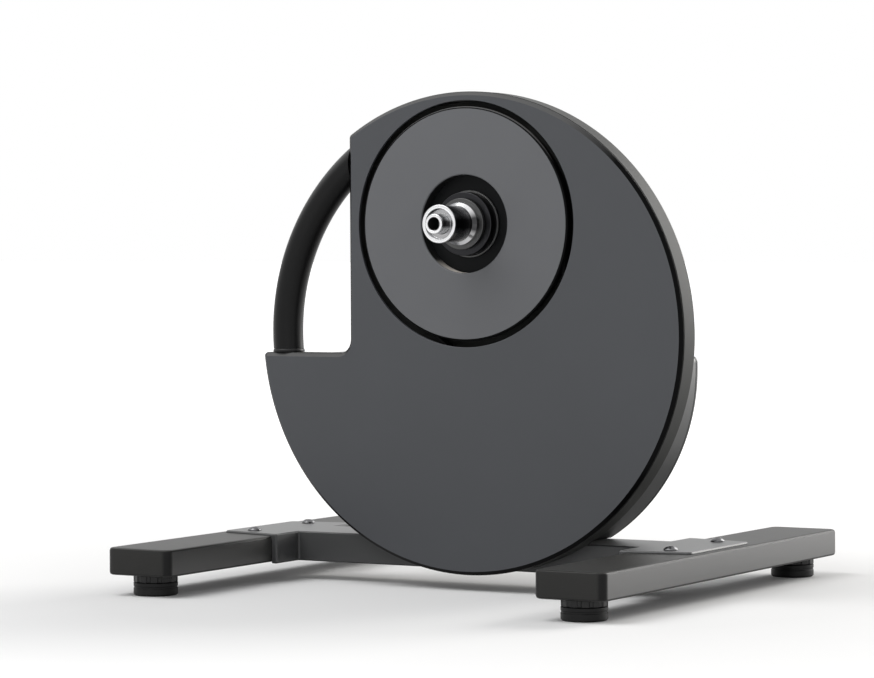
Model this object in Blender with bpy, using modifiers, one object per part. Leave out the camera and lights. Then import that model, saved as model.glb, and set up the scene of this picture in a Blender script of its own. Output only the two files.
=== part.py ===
"""Direct-drive bicycle trainer.

X runs along the beam, towards the bicycle's rear. Y runs along the axle, towards the drive side. Z is up.
The origin is on the floor, in the middle of the base.
"""
import math

import bmesh
import bpy
from mathutils import Matrix, Vector

MM = 0.001

# Clearances
GAP = 0.3 * MM
TIP_GAP = 0.8 * MM
BELT_GAP = 0.5 * MM
MERGE = 0.00001
SMALLEST_ROUNDING = 1.0 * MM
FLAT_ANGLE = math.radians(0.1)

# Bars and feet
BAR_SPACING = 452.5 * MM
BAR_LENGTH = 496.0 * MM
BAR_WIDTH = 70.0 * MM
BAR_HEIGHT = 25.4 * MM
BAR_CORNER = 8.5 * MM
BAR_EDGE = 2.5 * MM
BAR_WALL = 3.5 * MM
FOOT_SPACING = 435.0 * MM
FOOT_RADIUS = 20.75 * MM
PAD_HEIGHT = 12.4 * MM
WHEEL_HEIGHT = 6.2 * MM
WHEEL_NOTCHES = 12
WHEEL_NOTCH_DEPTH = 1.8 * MM
WHEEL_RIDGE_SHARE = 0.6
PAD_CHAMFER = 1.0 * MM
STUD_RADIUS = 5.0 * MM
STUD_LENGTH = 18.0 * MM
BUSH_RADIUS = 8.0 * MM
PIVOT_RADIUS = 6.2 * MM
PIVOT_LENGTH = 6.0 * MM

# Beam
BEAM_WIDTH = 66.0 * MM
BEAM_DROP = 1.35 * MM
BEAM_WALL = 4.0 * MM
BEAM_EDGE = 1.2 * MM
BEAM_BAYS = 6
RIB = 3.5 * MM
HEAD_WEB = 5.7 * MM
HEAD_PLATE = 4.7 * MM
HEAD_RISE = 2.0 * MM
HEAD_INNER_WIDTH = 146.0 * MM
HEAD_OUTER_WIDTH = 122.0 * MM
HEAD_INSET = 8.0 * MM
HEAD_CORNER = 4.0 * MM
HEAD_OVERLAP = 3.5 * MM
BAR_BOLT_SPACING = 98.0 * MM
BOLT_RADIUS = 4.0 * MM
BOLT_HEAD_RADIUS = 6.6 * MM
BOLT_HEAD_HEIGHT = 3.2 * MM
BOLT_SOCKET_RADIUS = 2.6 * MM
BOLT_SOCKET_DEPTH = 1.6 * MM
DOME_TOP_SHARE = 0.6
DOME_SIDE_SHARE = 0.88
DOME_TOP_DROP = 0.15
DOME_SIDE_DROP = 0.5
BAR_BOLT_LENGTH = 21.0 * MM
BOLT_BLOCK = 22.0 * MM

# Axle
AXLE_X = 17.15 * MM
AXLE_Z = 345.0 * MM
AXLE_RADIUS = 8.5 * MM
AXLE_BORE = 6.2 * MM
LEFT_FACE_REACH = 47.0 * MM
HUB_WIDTH = 135.0 * MM

# Near casing
CASE_BOTTOM_Z = 15.1 * MM
CASE_RADIUS = 226.9 * MM
CASE_DEPTH = 26.7 * MM
COVER_DEPTH = 3.8 * MM
COVER_SKIN = 2.8 * MM
COVER_CHAMFER = 3.2 * MM
COVER_LIP = 4.0 * MM
COVER_SET_IN = 0.5 * MM
GROOVE_WIDTH = 0.6 * MM
GROOVE_DEPTH = 5.7 * MM
CASE_WALL = 9.0 * MM
CASE_BACK_WALL = 4.7 * MM
CASE_RIBS = 5
CASE_RIB_HEIGHT = 3.0 * MM
CASE_RIB_START = math.radians(-15.0)
CASE_RIB_TURN = math.radians(42.0)
NOTCH_MARGIN = 12.05 * MM
LEDGE_Z = 222.0 * MM
NOTCH_FILLET = 13.0 * MM
NOTCH_TIP = 4.0 * MM
OPENING_MARGIN = 8.3 * MM
PLUG_BLOCK_INSET = 1.0 * MM

# Handle
HANDLE_RADIUS = 14.7 * MM
HANDLE_WALL = 2.5 * MM
HANDLE_SET_IN = 20.9 * MM
HANDLE_STEPS = 14
HANDLE_SET_BACK = 11.3 * MM
COLLAR_HEIGHT = 3.0 * MM
COLLAR_RADIUS = 15.3 * MM
PLUG_RADIUS = 7.0 * MM
PLUG_DEPTH = 24.0 * MM
PLUG_REACH = 12.0 * MM
PLUG_BLOCK = 24.0 * MM
PLUG_SLACK = 2.4 * MM

# Rear housing
DRUM_X = 24.05 * MM
DRUM_Z = 209.9 * MM
DRUM_RADIUS = 189.5 * MM
DRUM_TOP_Z = 221.0 * MM
DRUM_OVERHANG = 2.0 * MM
DRUM_WALL = 4.0 * MM
DRUM_CORNER = 5.0 * MM
SCOOP_RADIUS = 155.0 * MM
DRUM_EDGE = 1.0 * MM
SCREW_POST = 6.0 * MM
SCREW_POST_INSET = 1.0 * MM
SCREW_POST_ANGLES = (-5.0, -22.0, 186.0, 208.0, 232.0)

# Hub
HUB_BARREL_RADIUS = 29.8 * MM
HUB_BARREL_REACH = 1.6 * MM
HUB_FLANGE_RADIUS = 31.5 * MM
HUB_FLANGE_SET_BACK = 9.4 * MM
HUB_FLANGE_DEPTH = 2.4 * MM
HUB_SHAFT_RADIUS = 17.2 * MM
HUB_SHAFT_REACH = 3.0 * MM
HUB_BORE = 10.0 * MM
HUB_BORE_CLEARANCE = 2.0 * MM
AXLE_BEARING_RADIUS = 14.0 * MM
AXLE_BEARING_WIDTH = 8.0 * MM
BEARING_STEP = 1.0 * MM
FRAME_BEARING_RADIUS = 23.2 * MM
FRAME_BEARING_WIDTH = 7.0 * MM
HUB_BOSS_RADIUS = 32.0 * MM
HUB_BOSS_REACH = 15.3 * MM
SEAL_CAP_RADIUS = 24.0 * MM
SEAL_CAP_REACH = 6.6 * MM
END_CAP_RADIUS = 17.6 * MM
END_CAP_FLARE = 19.7 * MM
END_CAP_STRAIGHT = 28.0 * MM
END_CAP_RECESS = 14.2 * MM
END_CAP_RECESS_DEPTH = 5.0 * MM
TIP_RADIUS = 9.3 * MM
TIP_LENGTH = 9.5 * MM
RIGHT_CAP_RADIUS = 12.5 * MM
RIGHT_CAP_LENGTH = 6.0 * MM
FREEHUB_RADIUS = 17.4 * MM
FREEHUB_ROOT = 16.2 * MM
FREEHUB_SPLINES = 9
FREEHUB_SPLINE_SHARE = 0.55
SPLINE_FLANK = 0.04
FREEHUB_BORE = 14.3 * MM
FREEHUB_BEARING_WIDTH = 7.0 * MM

# Pulleys and belt
DISC_GAP = 6.2 * MM
DISC_CHAMFER = 1.0 * MM
DISC_RECESS = 46.0 * MM
DISC_THICKNESS = 3.2 * MM
DISC_PROUD = 0.8 * MM
DISC_COLLAR = 2.5 * MM
PULLEY_MARGIN = 13.6 * MM
PULLEY_RIM = 6.0 * MM
PULLEY_WEB = 3.0 * MM
PULLEY_FLANGE = 3.0 * MM
PULLEY_FLANGE_WIDTH = 1.0 * MM
BELT_WIDTH = 11.0 * MM
BELT_THICKNESS = 2.6 * MM
BELT_SET_BACK = 6.0 * MM
SMALL_PULLEY_RADIUS = 17.0 * MM
IDLER_X = 12.0 * MM
IDLER_DROP = 53.0 * MM
IDLER_RADIUS = 18.0 * MM
IDLER_BORE = 8.0 * MM
IDLER_ARM_WIDTH = 22.0 * MM
IDLER_ARM_THICKNESS = 3.4 * MM
IDLER_ARM_LENGTH = 62.0 * MM
IDLER_ARM_ANGLE = math.radians(215.0)
IDLER_END_STEPS = 6
IDLER_HEAD = 2.0 * MM
IDLER_SET_IN = 1.0 * MM

# Flywheel and brake
SHAFT_X = 92.15 * MM
SHAFT_Z = 125.0 * MM
SHAFT_RADIUS = 6.0 * MM
SHAFT_WAIST = 8.0 * MM
FLYWHEEL_RADIUS = 69.0 * MM
FLYWHEEL_SET_BACK = 8.3 * MM
FLYWHEEL_FAR_GAP = 5.0 * MM
FLYWHEEL_CUP = 48.0 * MM
FLYWHEEL_CUP_DEPTH = 16.0 * MM
SHAFT_END = 2.0 * MM
SHAFT_BEARING_RADIUS = 15.7 * MM
SHAFT_BEARING_WIDTH = 10.0 * MM
SHAFT_BOSS_WALL = 3.8 * MM
STATOR_RADIUS = 44.0 * MM
STATOR_ROOT = 33.0 * MM
STATOR_POLES = 6
STATOR_SHARE = 0.55
STATOR_CLEARANCE = 2.0 * MM

# Electrics
BOARD_X = -50.0 * MM
BOARD_Z = 112.0 * MM
BOARD_WIDTH = 90.0 * MM
BOARD_HEIGHT = 56.0 * MM
BOARD_THICKNESS = 1.6 * MM
STANDOFF_HEIGHT = 5.0 * MM
STANDOFF_RADIUS = 3.0 * MM
STANDOFF_SET_IN = 6.0 * MM
SOCKET_X = -70.0 * MM
SOCKET_Z = 96.0 * MM
SOCKET_RADIUS = 6.0 * MM
SOCKET_FLANGE_RADIUS = 8.5 * MM
SOCKET_FLANGE = 1.6 * MM
SOCKET_BORE = 3.5 * MM
SOCKET_LENGTH = 16.0 * MM
SOCKET_FLOOR = 4.0 * MM
LENS_X = -120.0 * MM
LENS_RADIUS = 3.5 * MM
LENS_PROUD = 0.6 * MM
SENSOR_SIZE = 14.0 * MM

# Bolts that hold the casing to the beam
CASE_BOLT_SPACING = 35.0 * MM
CASE_BOLT_Z = 37.0 * MM
CASE_BOLT_LENGTH = 17.0 * MM
CASE_BOLT_BLOCK = 17.0 * MM

# Facets of round shapes
LARGE_STEPS = 48
DISC_STEPS = 40
MIDDLE_STEPS = 24
SMALL_STEPS = 14
POST_STEPS = 12
BEVEL_ANGLE = math.radians(50.0)
SMOOTH_ANGLE = math.radians(35.0)

# Heights and depths that follow from the sizes above
BAR_BOTTOM = PAD_HEIGHT + GAP + WHEEL_HEIGHT + TIP_GAP
BAR_TOP = BAR_BOTTOM + BAR_HEIGHT
BEAM_TOP = BAR_TOP + HEAD_RISE
BEAM_BOTTOM = BAR_BOTTOM - BEAM_DROP
PLATE_BOTTOM = BEAM_TOP - HEAD_PLATE
POCKET_TOP = PLATE_BOTTOM - GAP - BAR_WALL
BAR_INNER_X = BAR_SPACING / 2 - BAR_WIDTH / 2
WEB_OUTER_X = BAR_INNER_X - GAP
WEB_INNER_X = WEB_OUTER_X - HEAD_WEB
HEAD_OUTER_X = BAR_SPACING / 2 + BAR_WIDTH / 2 - HEAD_INSET
CASE_Z = CASE_BOTTOM_Z + CASE_RADIUS
CASE_BACK_Y = -BEAM_WIDTH / 2 - GAP
CASE_FRONT_Y = CASE_BACK_Y - CASE_DEPTH
COVER_BACK_Y = CASE_FRONT_Y + COVER_DEPTH
RIM_FRONT_Y = COVER_BACK_Y + GROOVE_WIDTH
SPIGOT_FRONT_Y = CASE_FRONT_Y + COVER_SKIN + GAP
WALL_FRONT_Y = CASE_BACK_Y - CASE_BACK_WALL
DISC_OPENING = CASE_Z + CASE_RADIUS - AXLE_Z - OPENING_MARGIN
NOTCH_X = AXLE_X - DISC_OPENING - NOTCH_MARGIN
HANDLE_ARC_RADIUS = CASE_RADIUS - HANDLE_SET_IN
HANDLE_Y = CASE_BACK_Y - HANDLE_SET_BACK
DRUM_FRONT_Y = CASE_BACK_Y + GAP
DRUM_BOTTOM_Z = BEAM_TOP + GAP
DRUM_BACK_Y = BEAM_WIDTH / 2 + DRUM_OVERHANG
DRUM_INNER_Y = DRUM_BACK_Y - DRUM_WALL
PULLEY_RADIUS = DISC_OPENING - PULLEY_MARGIN
IDLER_Z = AXLE_Z - PULLEY_RADIUS - IDLER_DROP
BELT_FRONT_Y = CASE_FRONT_Y + BELT_SET_BACK
BELT_BACK_Y = BELT_FRONT_Y + BELT_WIDTH
HUB_BARREL_FRONT_Y = CASE_FRONT_Y - HUB_BARREL_REACH
HUB_FLANGE_FRONT_Y = CASE_FRONT_Y + HUB_FLANGE_SET_BACK
HUB_FLANGE_BACK_Y = HUB_FLANGE_FRONT_Y + HUB_FLANGE_DEPTH
WEB_FRONT_Y = HUB_FLANGE_BACK_Y + GAP
WEB_BACK_Y = WEB_FRONT_Y + PULLEY_WEB
HUB_BOSS_FRONT_Y = WEB_BACK_Y + 2 * GAP
HUB_BOSS_BACK_Y = CASE_BACK_Y + HUB_BOSS_REACH
HUB_SHAFT_BACK_Y = HUB_BOSS_BACK_Y + HUB_SHAFT_REACH
DISC_RADIUS = DISC_OPENING - DISC_GAP
DISC_FRONT_Y = CASE_FRONT_Y - DISC_PROUD
DISC_BACK_Y = DISC_FRONT_Y + DISC_THICKNESS
LEFT_FACE_Y = CASE_FRONT_Y - LEFT_FACE_REACH
RIGHT_FACE_Y = LEFT_FACE_Y + HUB_WIDTH
RIGHT_CAP_FRONT_Y = RIGHT_FACE_Y - RIGHT_CAP_LENGTH
SEAL_CAP_FRONT_Y = CASE_FRONT_Y - SEAL_CAP_REACH
SEAL_CAP_BACK_Y = HUB_BARREL_FRONT_Y - GAP
AXLE_FRONT_Y = LEFT_FACE_Y + END_CAP_RECESS_DEPTH + TIP_LENGTH / 2
FLYWHEEL_FRONT_Y = CASE_BACK_Y + FLYWHEEL_SET_BACK
FLYWHEEL_BACK_Y = DRUM_INNER_Y - FLYWHEEL_FAR_GAP
CUP_FLOOR_Y = FLYWHEEL_BACK_Y - FLYWHEEL_CUP_DEPTH
SHAFT_BOSS_RADIUS = SHAFT_BEARING_RADIUS + GAP + SHAFT_BOSS_WALL
BOARD_FRONT_Y = CASE_BACK_Y + STANDOFF_HEIGHT + GAP

# Colour, roughness and metallic value of each finish
COATED = ((0.085, 0.088, 0.092), 0.48, 0.2)
CASTING = ((0.10, 0.10, 0.10), 0.55, 0.35)
DISC_FINISH = ((0.13, 0.132, 0.138), 0.42, 0.25)
DARK_STEEL = ((0.045, 0.045, 0.048), 0.35, 0.7)
POLISHED = ((0.78, 0.78, 0.79), 0.14, 1.0)
GROUND_STEEL = ((0.55, 0.55, 0.56), 0.32, 1.0)
ALUMINIUM = ((0.62, 0.62, 0.63), 0.4, 1.0)
BLACK_GLOSS = ((0.014, 0.014, 0.015), 0.28, 0.0)
RUBBER = ((0.018, 0.018, 0.019), 0.75, 0.0)
BLACK_PLASTIC = ((0.03, 0.03, 0.032), 0.5, 0.0)
BOARD_GREEN = ((0.02, 0.10, 0.05), 0.45, 0.0)
COPPER = ((0.62, 0.25, 0.11), 0.35, 0.9)
LENS = ((0.62, 0.66, 0.7), 0.2, 0.0)


def new_collection(name):
    collection = bpy.data.collections.new(name)
    bpy.context.scene.collection.children.link(collection)
    return collection


for old in list(bpy.data.objects):
    bpy.data.objects.remove(old, do_unlink=True)
PARTS = new_collection("bike_trainer")
CUTTERS = new_collection("cutters")


def add_object(name, mesh, matrix, as_cutter=False):
    """Links a mesh as an object, as a part or as a hidden cutter."""
    obj = bpy.data.objects.new(name, mesh)
    obj.matrix_world = matrix
    if as_cutter:
        CUTTERS.objects.link(obj)
        obj.hide_render = True
        obj.display_type = "WIRE"
    else:
        PARTS.objects.link(obj)
    return obj


def finish(obj, look):
    """Gives a part its own material, and smooth shading with sharp edges."""
    colour, roughness, metallic = look
    surface = bpy.data.materials.new(obj.name)
    surface.use_nodes = True
    shader = surface.node_tree.nodes["Principled BSDF"]
    shader.inputs["Base Color"].default_value = (*colour, 1.0)
    shader.inputs["Roughness"].default_value = roughness
    shader.inputs["Metallic"].default_value = metallic
    obj.data.materials.clear()
    obj.data.materials.append(surface)
    obj.data.shade_smooth()
    obj.data.set_sharp_from_angle(angle=SMOOTH_ANGLE)
    return obj


def boolean(obj, other, operation):
    modifier = obj.modifiers.new(other.name, "BOOLEAN")
    modifier.operation = operation
    modifier.solver = "EXACT"
    modifier.object = other
    return obj


def cut(obj, *cutters):
    for cutter in cutters:
        boolean(obj, cutter, "DIFFERENCE")
    return obj


def join(obj, *additions):
    for addition in additions:
        boolean(obj, addition, "UNION")
    return obj


def bevel(obj, width, segments=2):
    """Rounds the sharp edges of a part."""
    modifier = obj.modifiers.new("edges", "BEVEL")
    modifier.width = width
    modifier.segments = segments
    modifier.limit_method = "ANGLE"
    modifier.angle_limit = BEVEL_ANGLE
    return obj


def box(name, low, high, as_cutter=True, turn=None):
    """A box between two corners, turned about its centre where a matrix is given."""
    low, high = Vector(low), Vector(high)
    shape = bmesh.new()
    bmesh.ops.create_cube(shape, size=1.0, matrix=Matrix.Diagonal((*(high - low), 1.0)))
    mesh = bpy.data.meshes.new(name)
    shape.to_mesh(mesh)
    shape.free()
    matrix = Matrix.Translation((low + high) / 2)
    if turn is not None:
        matrix = matrix @ turn
    return add_object(name, mesh, matrix, as_cutter)


def cylinder(name, centre, direction, radius, length, steps=SMALL_STEPS, as_cutter=True):
    """A cylinder that starts at a point and runs along a direction."""
    shape = bmesh.new()
    bmesh.ops.create_cone(
        shape, cap_ends=True, segments=steps, radius1=radius, radius2=radius, depth=length
    )
    mesh = bpy.data.meshes.new(name)
    shape.to_mesh(mesh)
    shape.free()
    direction = Vector(direction).normalized()
    middle = Vector(centre) + direction * length / 2
    matrix = Matrix.Translation(middle) @ direction.to_track_quat("Z", "Y").to_matrix().to_4x4()
    return add_object(name, mesh, matrix, as_cutter)


def drum(name, x, z, radius, front, back, steps=SMALL_STEPS, as_cutter=True):
    """A cylinder whose axis runs along Y."""
    return cylinder(name, (x, front, z), (0, 1, 0), radius, back - front, steps, as_cutter)


def turned(name, profile, steps, centre, along_y=True, closed=True):
    """Turns a profile of (radius, place) about an axis.

    Along Y, the outer side's points run towards +Y. Along Z, they run downwards.
    A closed profile is a ring's section. An open one starts and ends on the axis.
    """
    sign = -1.0 if along_y else 1.0
    mesh = bpy.data.meshes.new(name)
    points = [(radius, 0.0, sign * place) for radius, place in profile]
    count = len(points)
    edges = [(i, i + 1) for i in range(count - 1)]
    if closed:
        edges.append((count - 1, 0))
    mesh.from_pydata(points, edges, [])
    turn = Matrix.Rotation(math.radians(90), 4, "X") if along_y else Matrix.Identity(4)
    obj = add_object(name, mesh, Matrix.Translation(centre) @ turn)
    screw = obj.modifiers.new("turn", "SCREW")
    screw.angle = math.radians(360)
    screw.steps = steps
    screw.render_steps = steps
    screw.use_merge_vertices = True
    screw.merge_threshold = MERGE
    screw.use_smooth_shade = True
    return obj


def ring(name, x, z, inner, outer, front, back, steps=SMALL_STEPS):
    """A plain ring about an axis along Y."""
    profile = [(outer, front), (outer, back), (inner, back), (inner, front)]
    return turned(name, profile, steps, (x, 0, z))


def flat_piece(name, outlines, low, high, upright=True, as_cutter=False):
    """An outline with any holes in it, given a thickness.

    An upright one lies in X and Z and is thick along Y. The other lies in X and Y and is thick along Z.
    """
    curve = bpy.data.curves.new(name, "CURVE")
    curve.dimensions = "2D"
    curve.fill_mode = "BOTH"
    curve.extrude = (high - low) / 2
    for outline in outlines:
        spline = curve.splines.new("POLY")
        spline.points.add(len(outline) - 1)
        for point, (x, y) in zip(spline.points, outline):
            point.co = (x, y, 0.0, 1.0)
        spline.use_cyclic_u = True
    guide = bpy.data.objects.new(name + "_outline", curve)
    CUTTERS.objects.link(guide)
    middle = (low + high) / 2
    if upright:
        guide.matrix_world = Matrix.Translation((0, middle, 0)) @ Matrix.Rotation(math.radians(90), 4, "X")
    else:
        guide.matrix_world = Matrix.Translation((0, 0, middle))
    obj = mesh_from_curve(name, guide, as_cutter)
    return obj


def mesh_from_curve(name, guide, as_cutter=False):
    """Makes a curve object into a mesh object with its caps welded."""
    bpy.context.view_layer.update()
    graph = bpy.context.evaluated_depsgraph_get()
    mesh = bpy.data.meshes.new_from_object(guide.evaluated_get(graph))
    matrix = guide.matrix_world.copy()
    bpy.data.objects.remove(guide, do_unlink=True)
    shape = bmesh.new()
    shape.from_mesh(mesh)
    bmesh.ops.remove_doubles(shape, verts=shape.verts, dist=MERGE)
    bmesh.ops.dissolve_limit(shape, angle_limit=FLAT_ANGLE, verts=shape.verts, edges=shape.edges)
    bmesh.ops.recalc_face_normals(shape, faces=shape.faces)
    shape.to_mesh(mesh)
    shape.free()
    return add_object(name, mesh, matrix, as_cutter)


def arc(x, z, radius, start, end, steps):
    """Points from one angle to another round a centre, both ends included."""
    angles = [start + (end - start) * i / steps for i in range(steps + 1)]
    return [(x + radius * math.cos(a), z + radius * math.sin(a)) for a in angles]


def circle(x, z, radius, steps):
    return arc(x, z, radius, 0.0, 2 * math.pi, steps)[:-1]


def arc_steps(start, end, whole=LARGE_STEPS):
    """Steps for part of a circle that has so many facets."""
    return max(2, round(abs(end - start) / (2 * math.pi) * whole))


def soften(points, index, reach):
    """Rounds one corner of an outline with three points."""
    corner = Vector(points[index])
    before = Vector(points[index - 1])
    after = Vector(points[(index + 1) % len(points)])
    first = corner + (before - corner).normalized() * reach
    last = corner + (after - corner).normalized() * reach
    middle = (first + corner * 2 + last) / 4
    return points[:index] + [tuple(first), tuple(middle), tuple(last)] + points[index + 1 :]


def rounded_rectangle(x0, x1, y0, y1, radius, steps=4):
    quarter = math.pi / 2
    centres = [(x1, y1, -1, -1), (x0, y1, 1, -1), (x0, y0, 1, 1), (x1, y0, -1, 1)]
    points = []
    for i, (x, y, inward_x, inward_y) in enumerate(centres):
        start = quarter * i
        points += arc(x + inward_x * radius, y + inward_y * radius, radius, start, start + quarter, steps)
    return points


def case_outline(inset):
    """The near casing's circle with the notch at its upper front, drawn in by an inset."""
    radius = CASE_RADIUS - inset
    wall_x = NOTCH_X + inset
    ledge_z = LEDGE_Z - inset
    tip = math.pi + math.asin((CASE_Z - ledge_z) / radius)
    top = math.acos((wall_x - AXLE_X) / radius) + 2 * math.pi
    points = arc(AXLE_X, CASE_Z, radius, tip, top, arc_steps(tip, top))
    last = len(points) - 1
    points += arc(
        NOTCH_X - NOTCH_FILLET, LEDGE_Z + NOTCH_FILLET, NOTCH_FILLET + inset, 0.0, -math.pi / 2, 4
    )
    reach = max(NOTCH_TIP - inset, SMALLEST_ROUNDING)
    points = soften(points, last, reach)
    return soften(points, 0, reach)


def drum_outline(inset):
    """The rear housing's circle, flat on top and below, scooped round the axle, drawn in by an inset."""
    radius = DRUM_RADIUS - inset
    top_z = DRUM_TOP_Z - inset
    bottom_z = DRUM_BOTTOM_Z + inset
    scoop = SCOOP_RADIUS + inset
    low = math.asin((bottom_z - DRUM_Z) / radius)
    high = math.asin((top_z - DRUM_Z) / radius)
    half = math.acos((AXLE_Z - top_z) / scoop)
    down = -math.pi / 2
    reach = max(DRUM_CORNER - inset, SMALLEST_ROUNDING)
    points = arc(DRUM_X, DRUM_Z, radius, low, high, arc_steps(low, high))
    corners = [len(points) - 1, len(points)]
    points += arc(AXLE_X, AXLE_Z, scoop, down + half, down - half, arc_steps(0, 2 * half))
    corners += [len(points) - 1, len(points)]
    points += arc(DRUM_X, DRUM_Z, radius, math.pi - high, math.pi - low, arc_steps(low, high))
    for index in reversed(corners):
        points = soften(points, index, reach)
    return points


def belt_outline(pulleys, offset):
    """A belt's loop round pulleys of (x, z, radius). A negative radius is a pulley on the belt's back."""
    angles = []
    for i, (x, z, radius) in enumerate(pulleys):
        next_x, next_z, next_radius = pulleys[(i + 1) % len(pulleys)]
        between = Vector((next_x - x, next_z - z))
        turn = math.acos((radius - next_radius) / between.length)
        angles.append(math.atan2(between.y, between.x) - turn)
    points = []
    for i, (x, z, radius) in enumerate(pulleys):
        start, end = angles[i - 1], angles[i]
        way = 1 if radius > 0 else -1
        while (end - start) * way < 0:
            end += 2 * math.pi * way
        while (end - start) * way > 2 * math.pi:
            end -= 2 * math.pi * way
        points += arc(x, z, radius + offset, start, end, max(4, arc_steps(start, end, DISC_STEPS)))
    return points


def star_outline(x, z, root, tip, count, share):
    """A ring of ridges between a root and a tip radius. The share is the ridge's part of its pitch."""
    pitch = 2 * math.pi / count
    points = []
    for i in range(count):
        middle = i * pitch
        half = pitch * share / 2
        points += arc(x, z, tip, middle - half, middle + half, 2)
        flank = half + pitch * SPLINE_FLANK
        points += arc(x, z, root, middle + flank, middle + pitch - flank, 2)
    return points


def places_on_bars(spacing):
    """Number, x and y of two places on each bar's centre line, so far apart."""
    ways = [(x, y) for x in (-1, 1) for y in (-1, 1)]
    for i, (x, y) in enumerate(ways, start=1):
        yield i, x * BAR_SPACING / 2, y * spacing / 2


def foot_places():
    return places_on_bars(FOOT_SPACING)


def bar_bolt_places():
    return places_on_bars(BAR_BOLT_SPACING)


def case_bolt_places():
    for i in range(3):
        yield i + 1, AXLE_X + (i - 1) * CASE_BOLT_SPACING


def head_outline(side, grow=0.0):
    """One head's plate seen from above, from the bar's inner face outwards."""
    inner = side * (BAR_INNER_X - HEAD_OVERLAP)
    outer = side * (HEAD_OUTER_X + grow)
    half_in = HEAD_INNER_WIDTH / 2 + grow
    half_out = HEAD_OUTER_WIDTH / 2 + grow
    points = [(inner, -half_in), (side * BAR_INNER_X, -half_in), (outer, -half_out)]
    points += [(outer, half_out), (side * BAR_INNER_X, half_in), (inner, half_in)]
    for index in (3, 2):
        points = soften(points, index, HEAD_CORNER)
    return points


def beam_outline():
    """The beam and both heads seen from above."""
    half = BEAM_WIDTH / 2
    half_in = HEAD_INNER_WIDTH / 2
    half_out = HEAD_OUTER_WIDTH / 2
    quarter = [
        (WEB_INNER_X, half),
        (WEB_INNER_X, half_in),
        (BAR_INNER_X, half_in),
        (HEAD_OUTER_X, half_out),
    ]
    right = [(x, -y) for x, y in quarter] + [(x, y) for x, y in reversed(quarter)]
    right = soften(right, 4, HEAD_CORNER)
    right = soften(right, 3, HEAD_CORNER)
    left = [(-x, -y) for x, y in right]
    return right + left


def base_beam():
    beam = flat_piece("base_beam", [beam_outline()], BEAM_BOTTOM, BEAM_TOP, upright=False)
    bevel(beam, BEAM_EDGE, 1)
    reach = BAR_WIDTH
    for side in (-1, 1):
        ends = sorted((side * WEB_OUTER_X, side * (WEB_OUTER_X + reach)))
        cut(beam, box(
            "beam_step", (ends[0], -reach * 2, BEAM_BOTTOM - BAR_HEIGHT), (ends[1], reach * 2, PLATE_BOTTOM)
        ))
    half_width = BEAM_WIDTH / 2 - BEAM_WALL
    span = 2 * (WEB_INNER_X - BEAM_WALL)
    bay = span / BEAM_BAYS
    for i in range(BEAM_BAYS):
        start = -span / 2 + i * bay + RIB / 2
        end = start + bay - RIB
        for side in (-1, 1):
            near_bolts = start < AXLE_X + CASE_BOLT_SPACING and end > AXLE_X - CASE_BOLT_SPACING
            if side == -1 and near_bolts:
                y_ends = (-BEAM_WIDTH / 2 + CASE_BOLT_BLOCK, -RIB / 2)
            else:
                y_ends = sorted((side * RIB / 2, side * half_width))
            low = (start, y_ends[0], BEAM_BOTTOM - BAR_HEIGHT)
            cut(beam, box("beam_pocket", low, (end, y_ends[1], BEAM_TOP - BEAM_WALL)))
    for number, x, y in bar_bolt_places():
        cut(beam, cylinder(
            f"head_hole_{number}", (x, y, PLATE_BOTTOM - BEAM_WALL), (0, 0, 1), BOLT_RADIUS + GAP,
            HEAD_PLATE + 2 * BEAM_WALL, SMALL_STEPS,
        ))
    for number, x in case_bolt_places():
        cut(beam, drum(
            f"beam_bolt_hole_{number}", x, CASE_BOLT_Z, BOLT_RADIUS + GAP, -BEAM_WIDTH,
            CASE_BACK_Y - CASE_BACK_WALL + CASE_BOLT_LENGTH + GAP,
        ))
    return finish(beam, COATED)


def bar(name, side):
    """A bar with a recess for the head's plate and ribbed pockets below."""
    x = side * BAR_SPACING / 2
    half_width = BAR_WIDTH / 2
    half_length = BAR_LENGTH / 2
    outline = rounded_rectangle(x - half_width, x + half_width, -half_length, half_length, BAR_CORNER)
    piece = flat_piece(name, [outline], BAR_BOTTOM, BAR_TOP, upright=False)
    bevel(piece, BAR_EDGE)
    recess = flat_piece(
        name + "_recess", [head_outline(side, GAP)], PLATE_BOTTOM - GAP, BEAM_TOP + HEAD_PLATE,
        upright=False, as_cutter=True,
    )
    cut(piece, recess)
    bolt_y = BAR_BOLT_SPACING / 2
    block = BOLT_BLOCK / 2
    foot_block = FOOT_SPACING / 2 - FOOT_RADIUS
    outer_middle = (bolt_y + block + foot_block) / 2
    bays = [
        (-bolt_y + block, bolt_y - block),
        (bolt_y + block, outer_middle - RIB / 2),
        (outer_middle + RIB / 2, foot_block),
    ]
    bays += [(-end, -start) for start, end in bays[1:]]
    for start, end in bays:
        for way in (-1, 1):
            ends = sorted((x + way * RIB / 2, x + way * (half_width - BAR_WALL)))
            low = (ends[0], start, BAR_BOTTOM - BAR_HEIGHT)
            cut(piece, box(name + "_pocket", low, (ends[1], end, POCKET_TOP)))
    for number, foot_x, foot_y in foot_places():
        if foot_x * side > 0:
            cut(piece, cylinder(
                f"bush_hole_{number}", (foot_x, foot_y, BAR_BOTTOM - BAR_HEIGHT), (0, 0, 1),
                BUSH_RADIUS + GAP, BAR_HEIGHT + STUD_LENGTH + GAP,
            ))
    for number, bolt_x, bolt_place_y in bar_bolt_places():
        if bolt_x * side > 0:
            cut(piece, cylinder(
                f"bar_bolt_hole_{number}", (bolt_x, bolt_place_y, BEAM_TOP - BAR_BOLT_LENGTH - GAP),
                (0, 0, 1), BOLT_RADIUS + GAP, BAR_BOLT_LENGTH * 2,
            ))
    return finish(piece, COATED)


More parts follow.
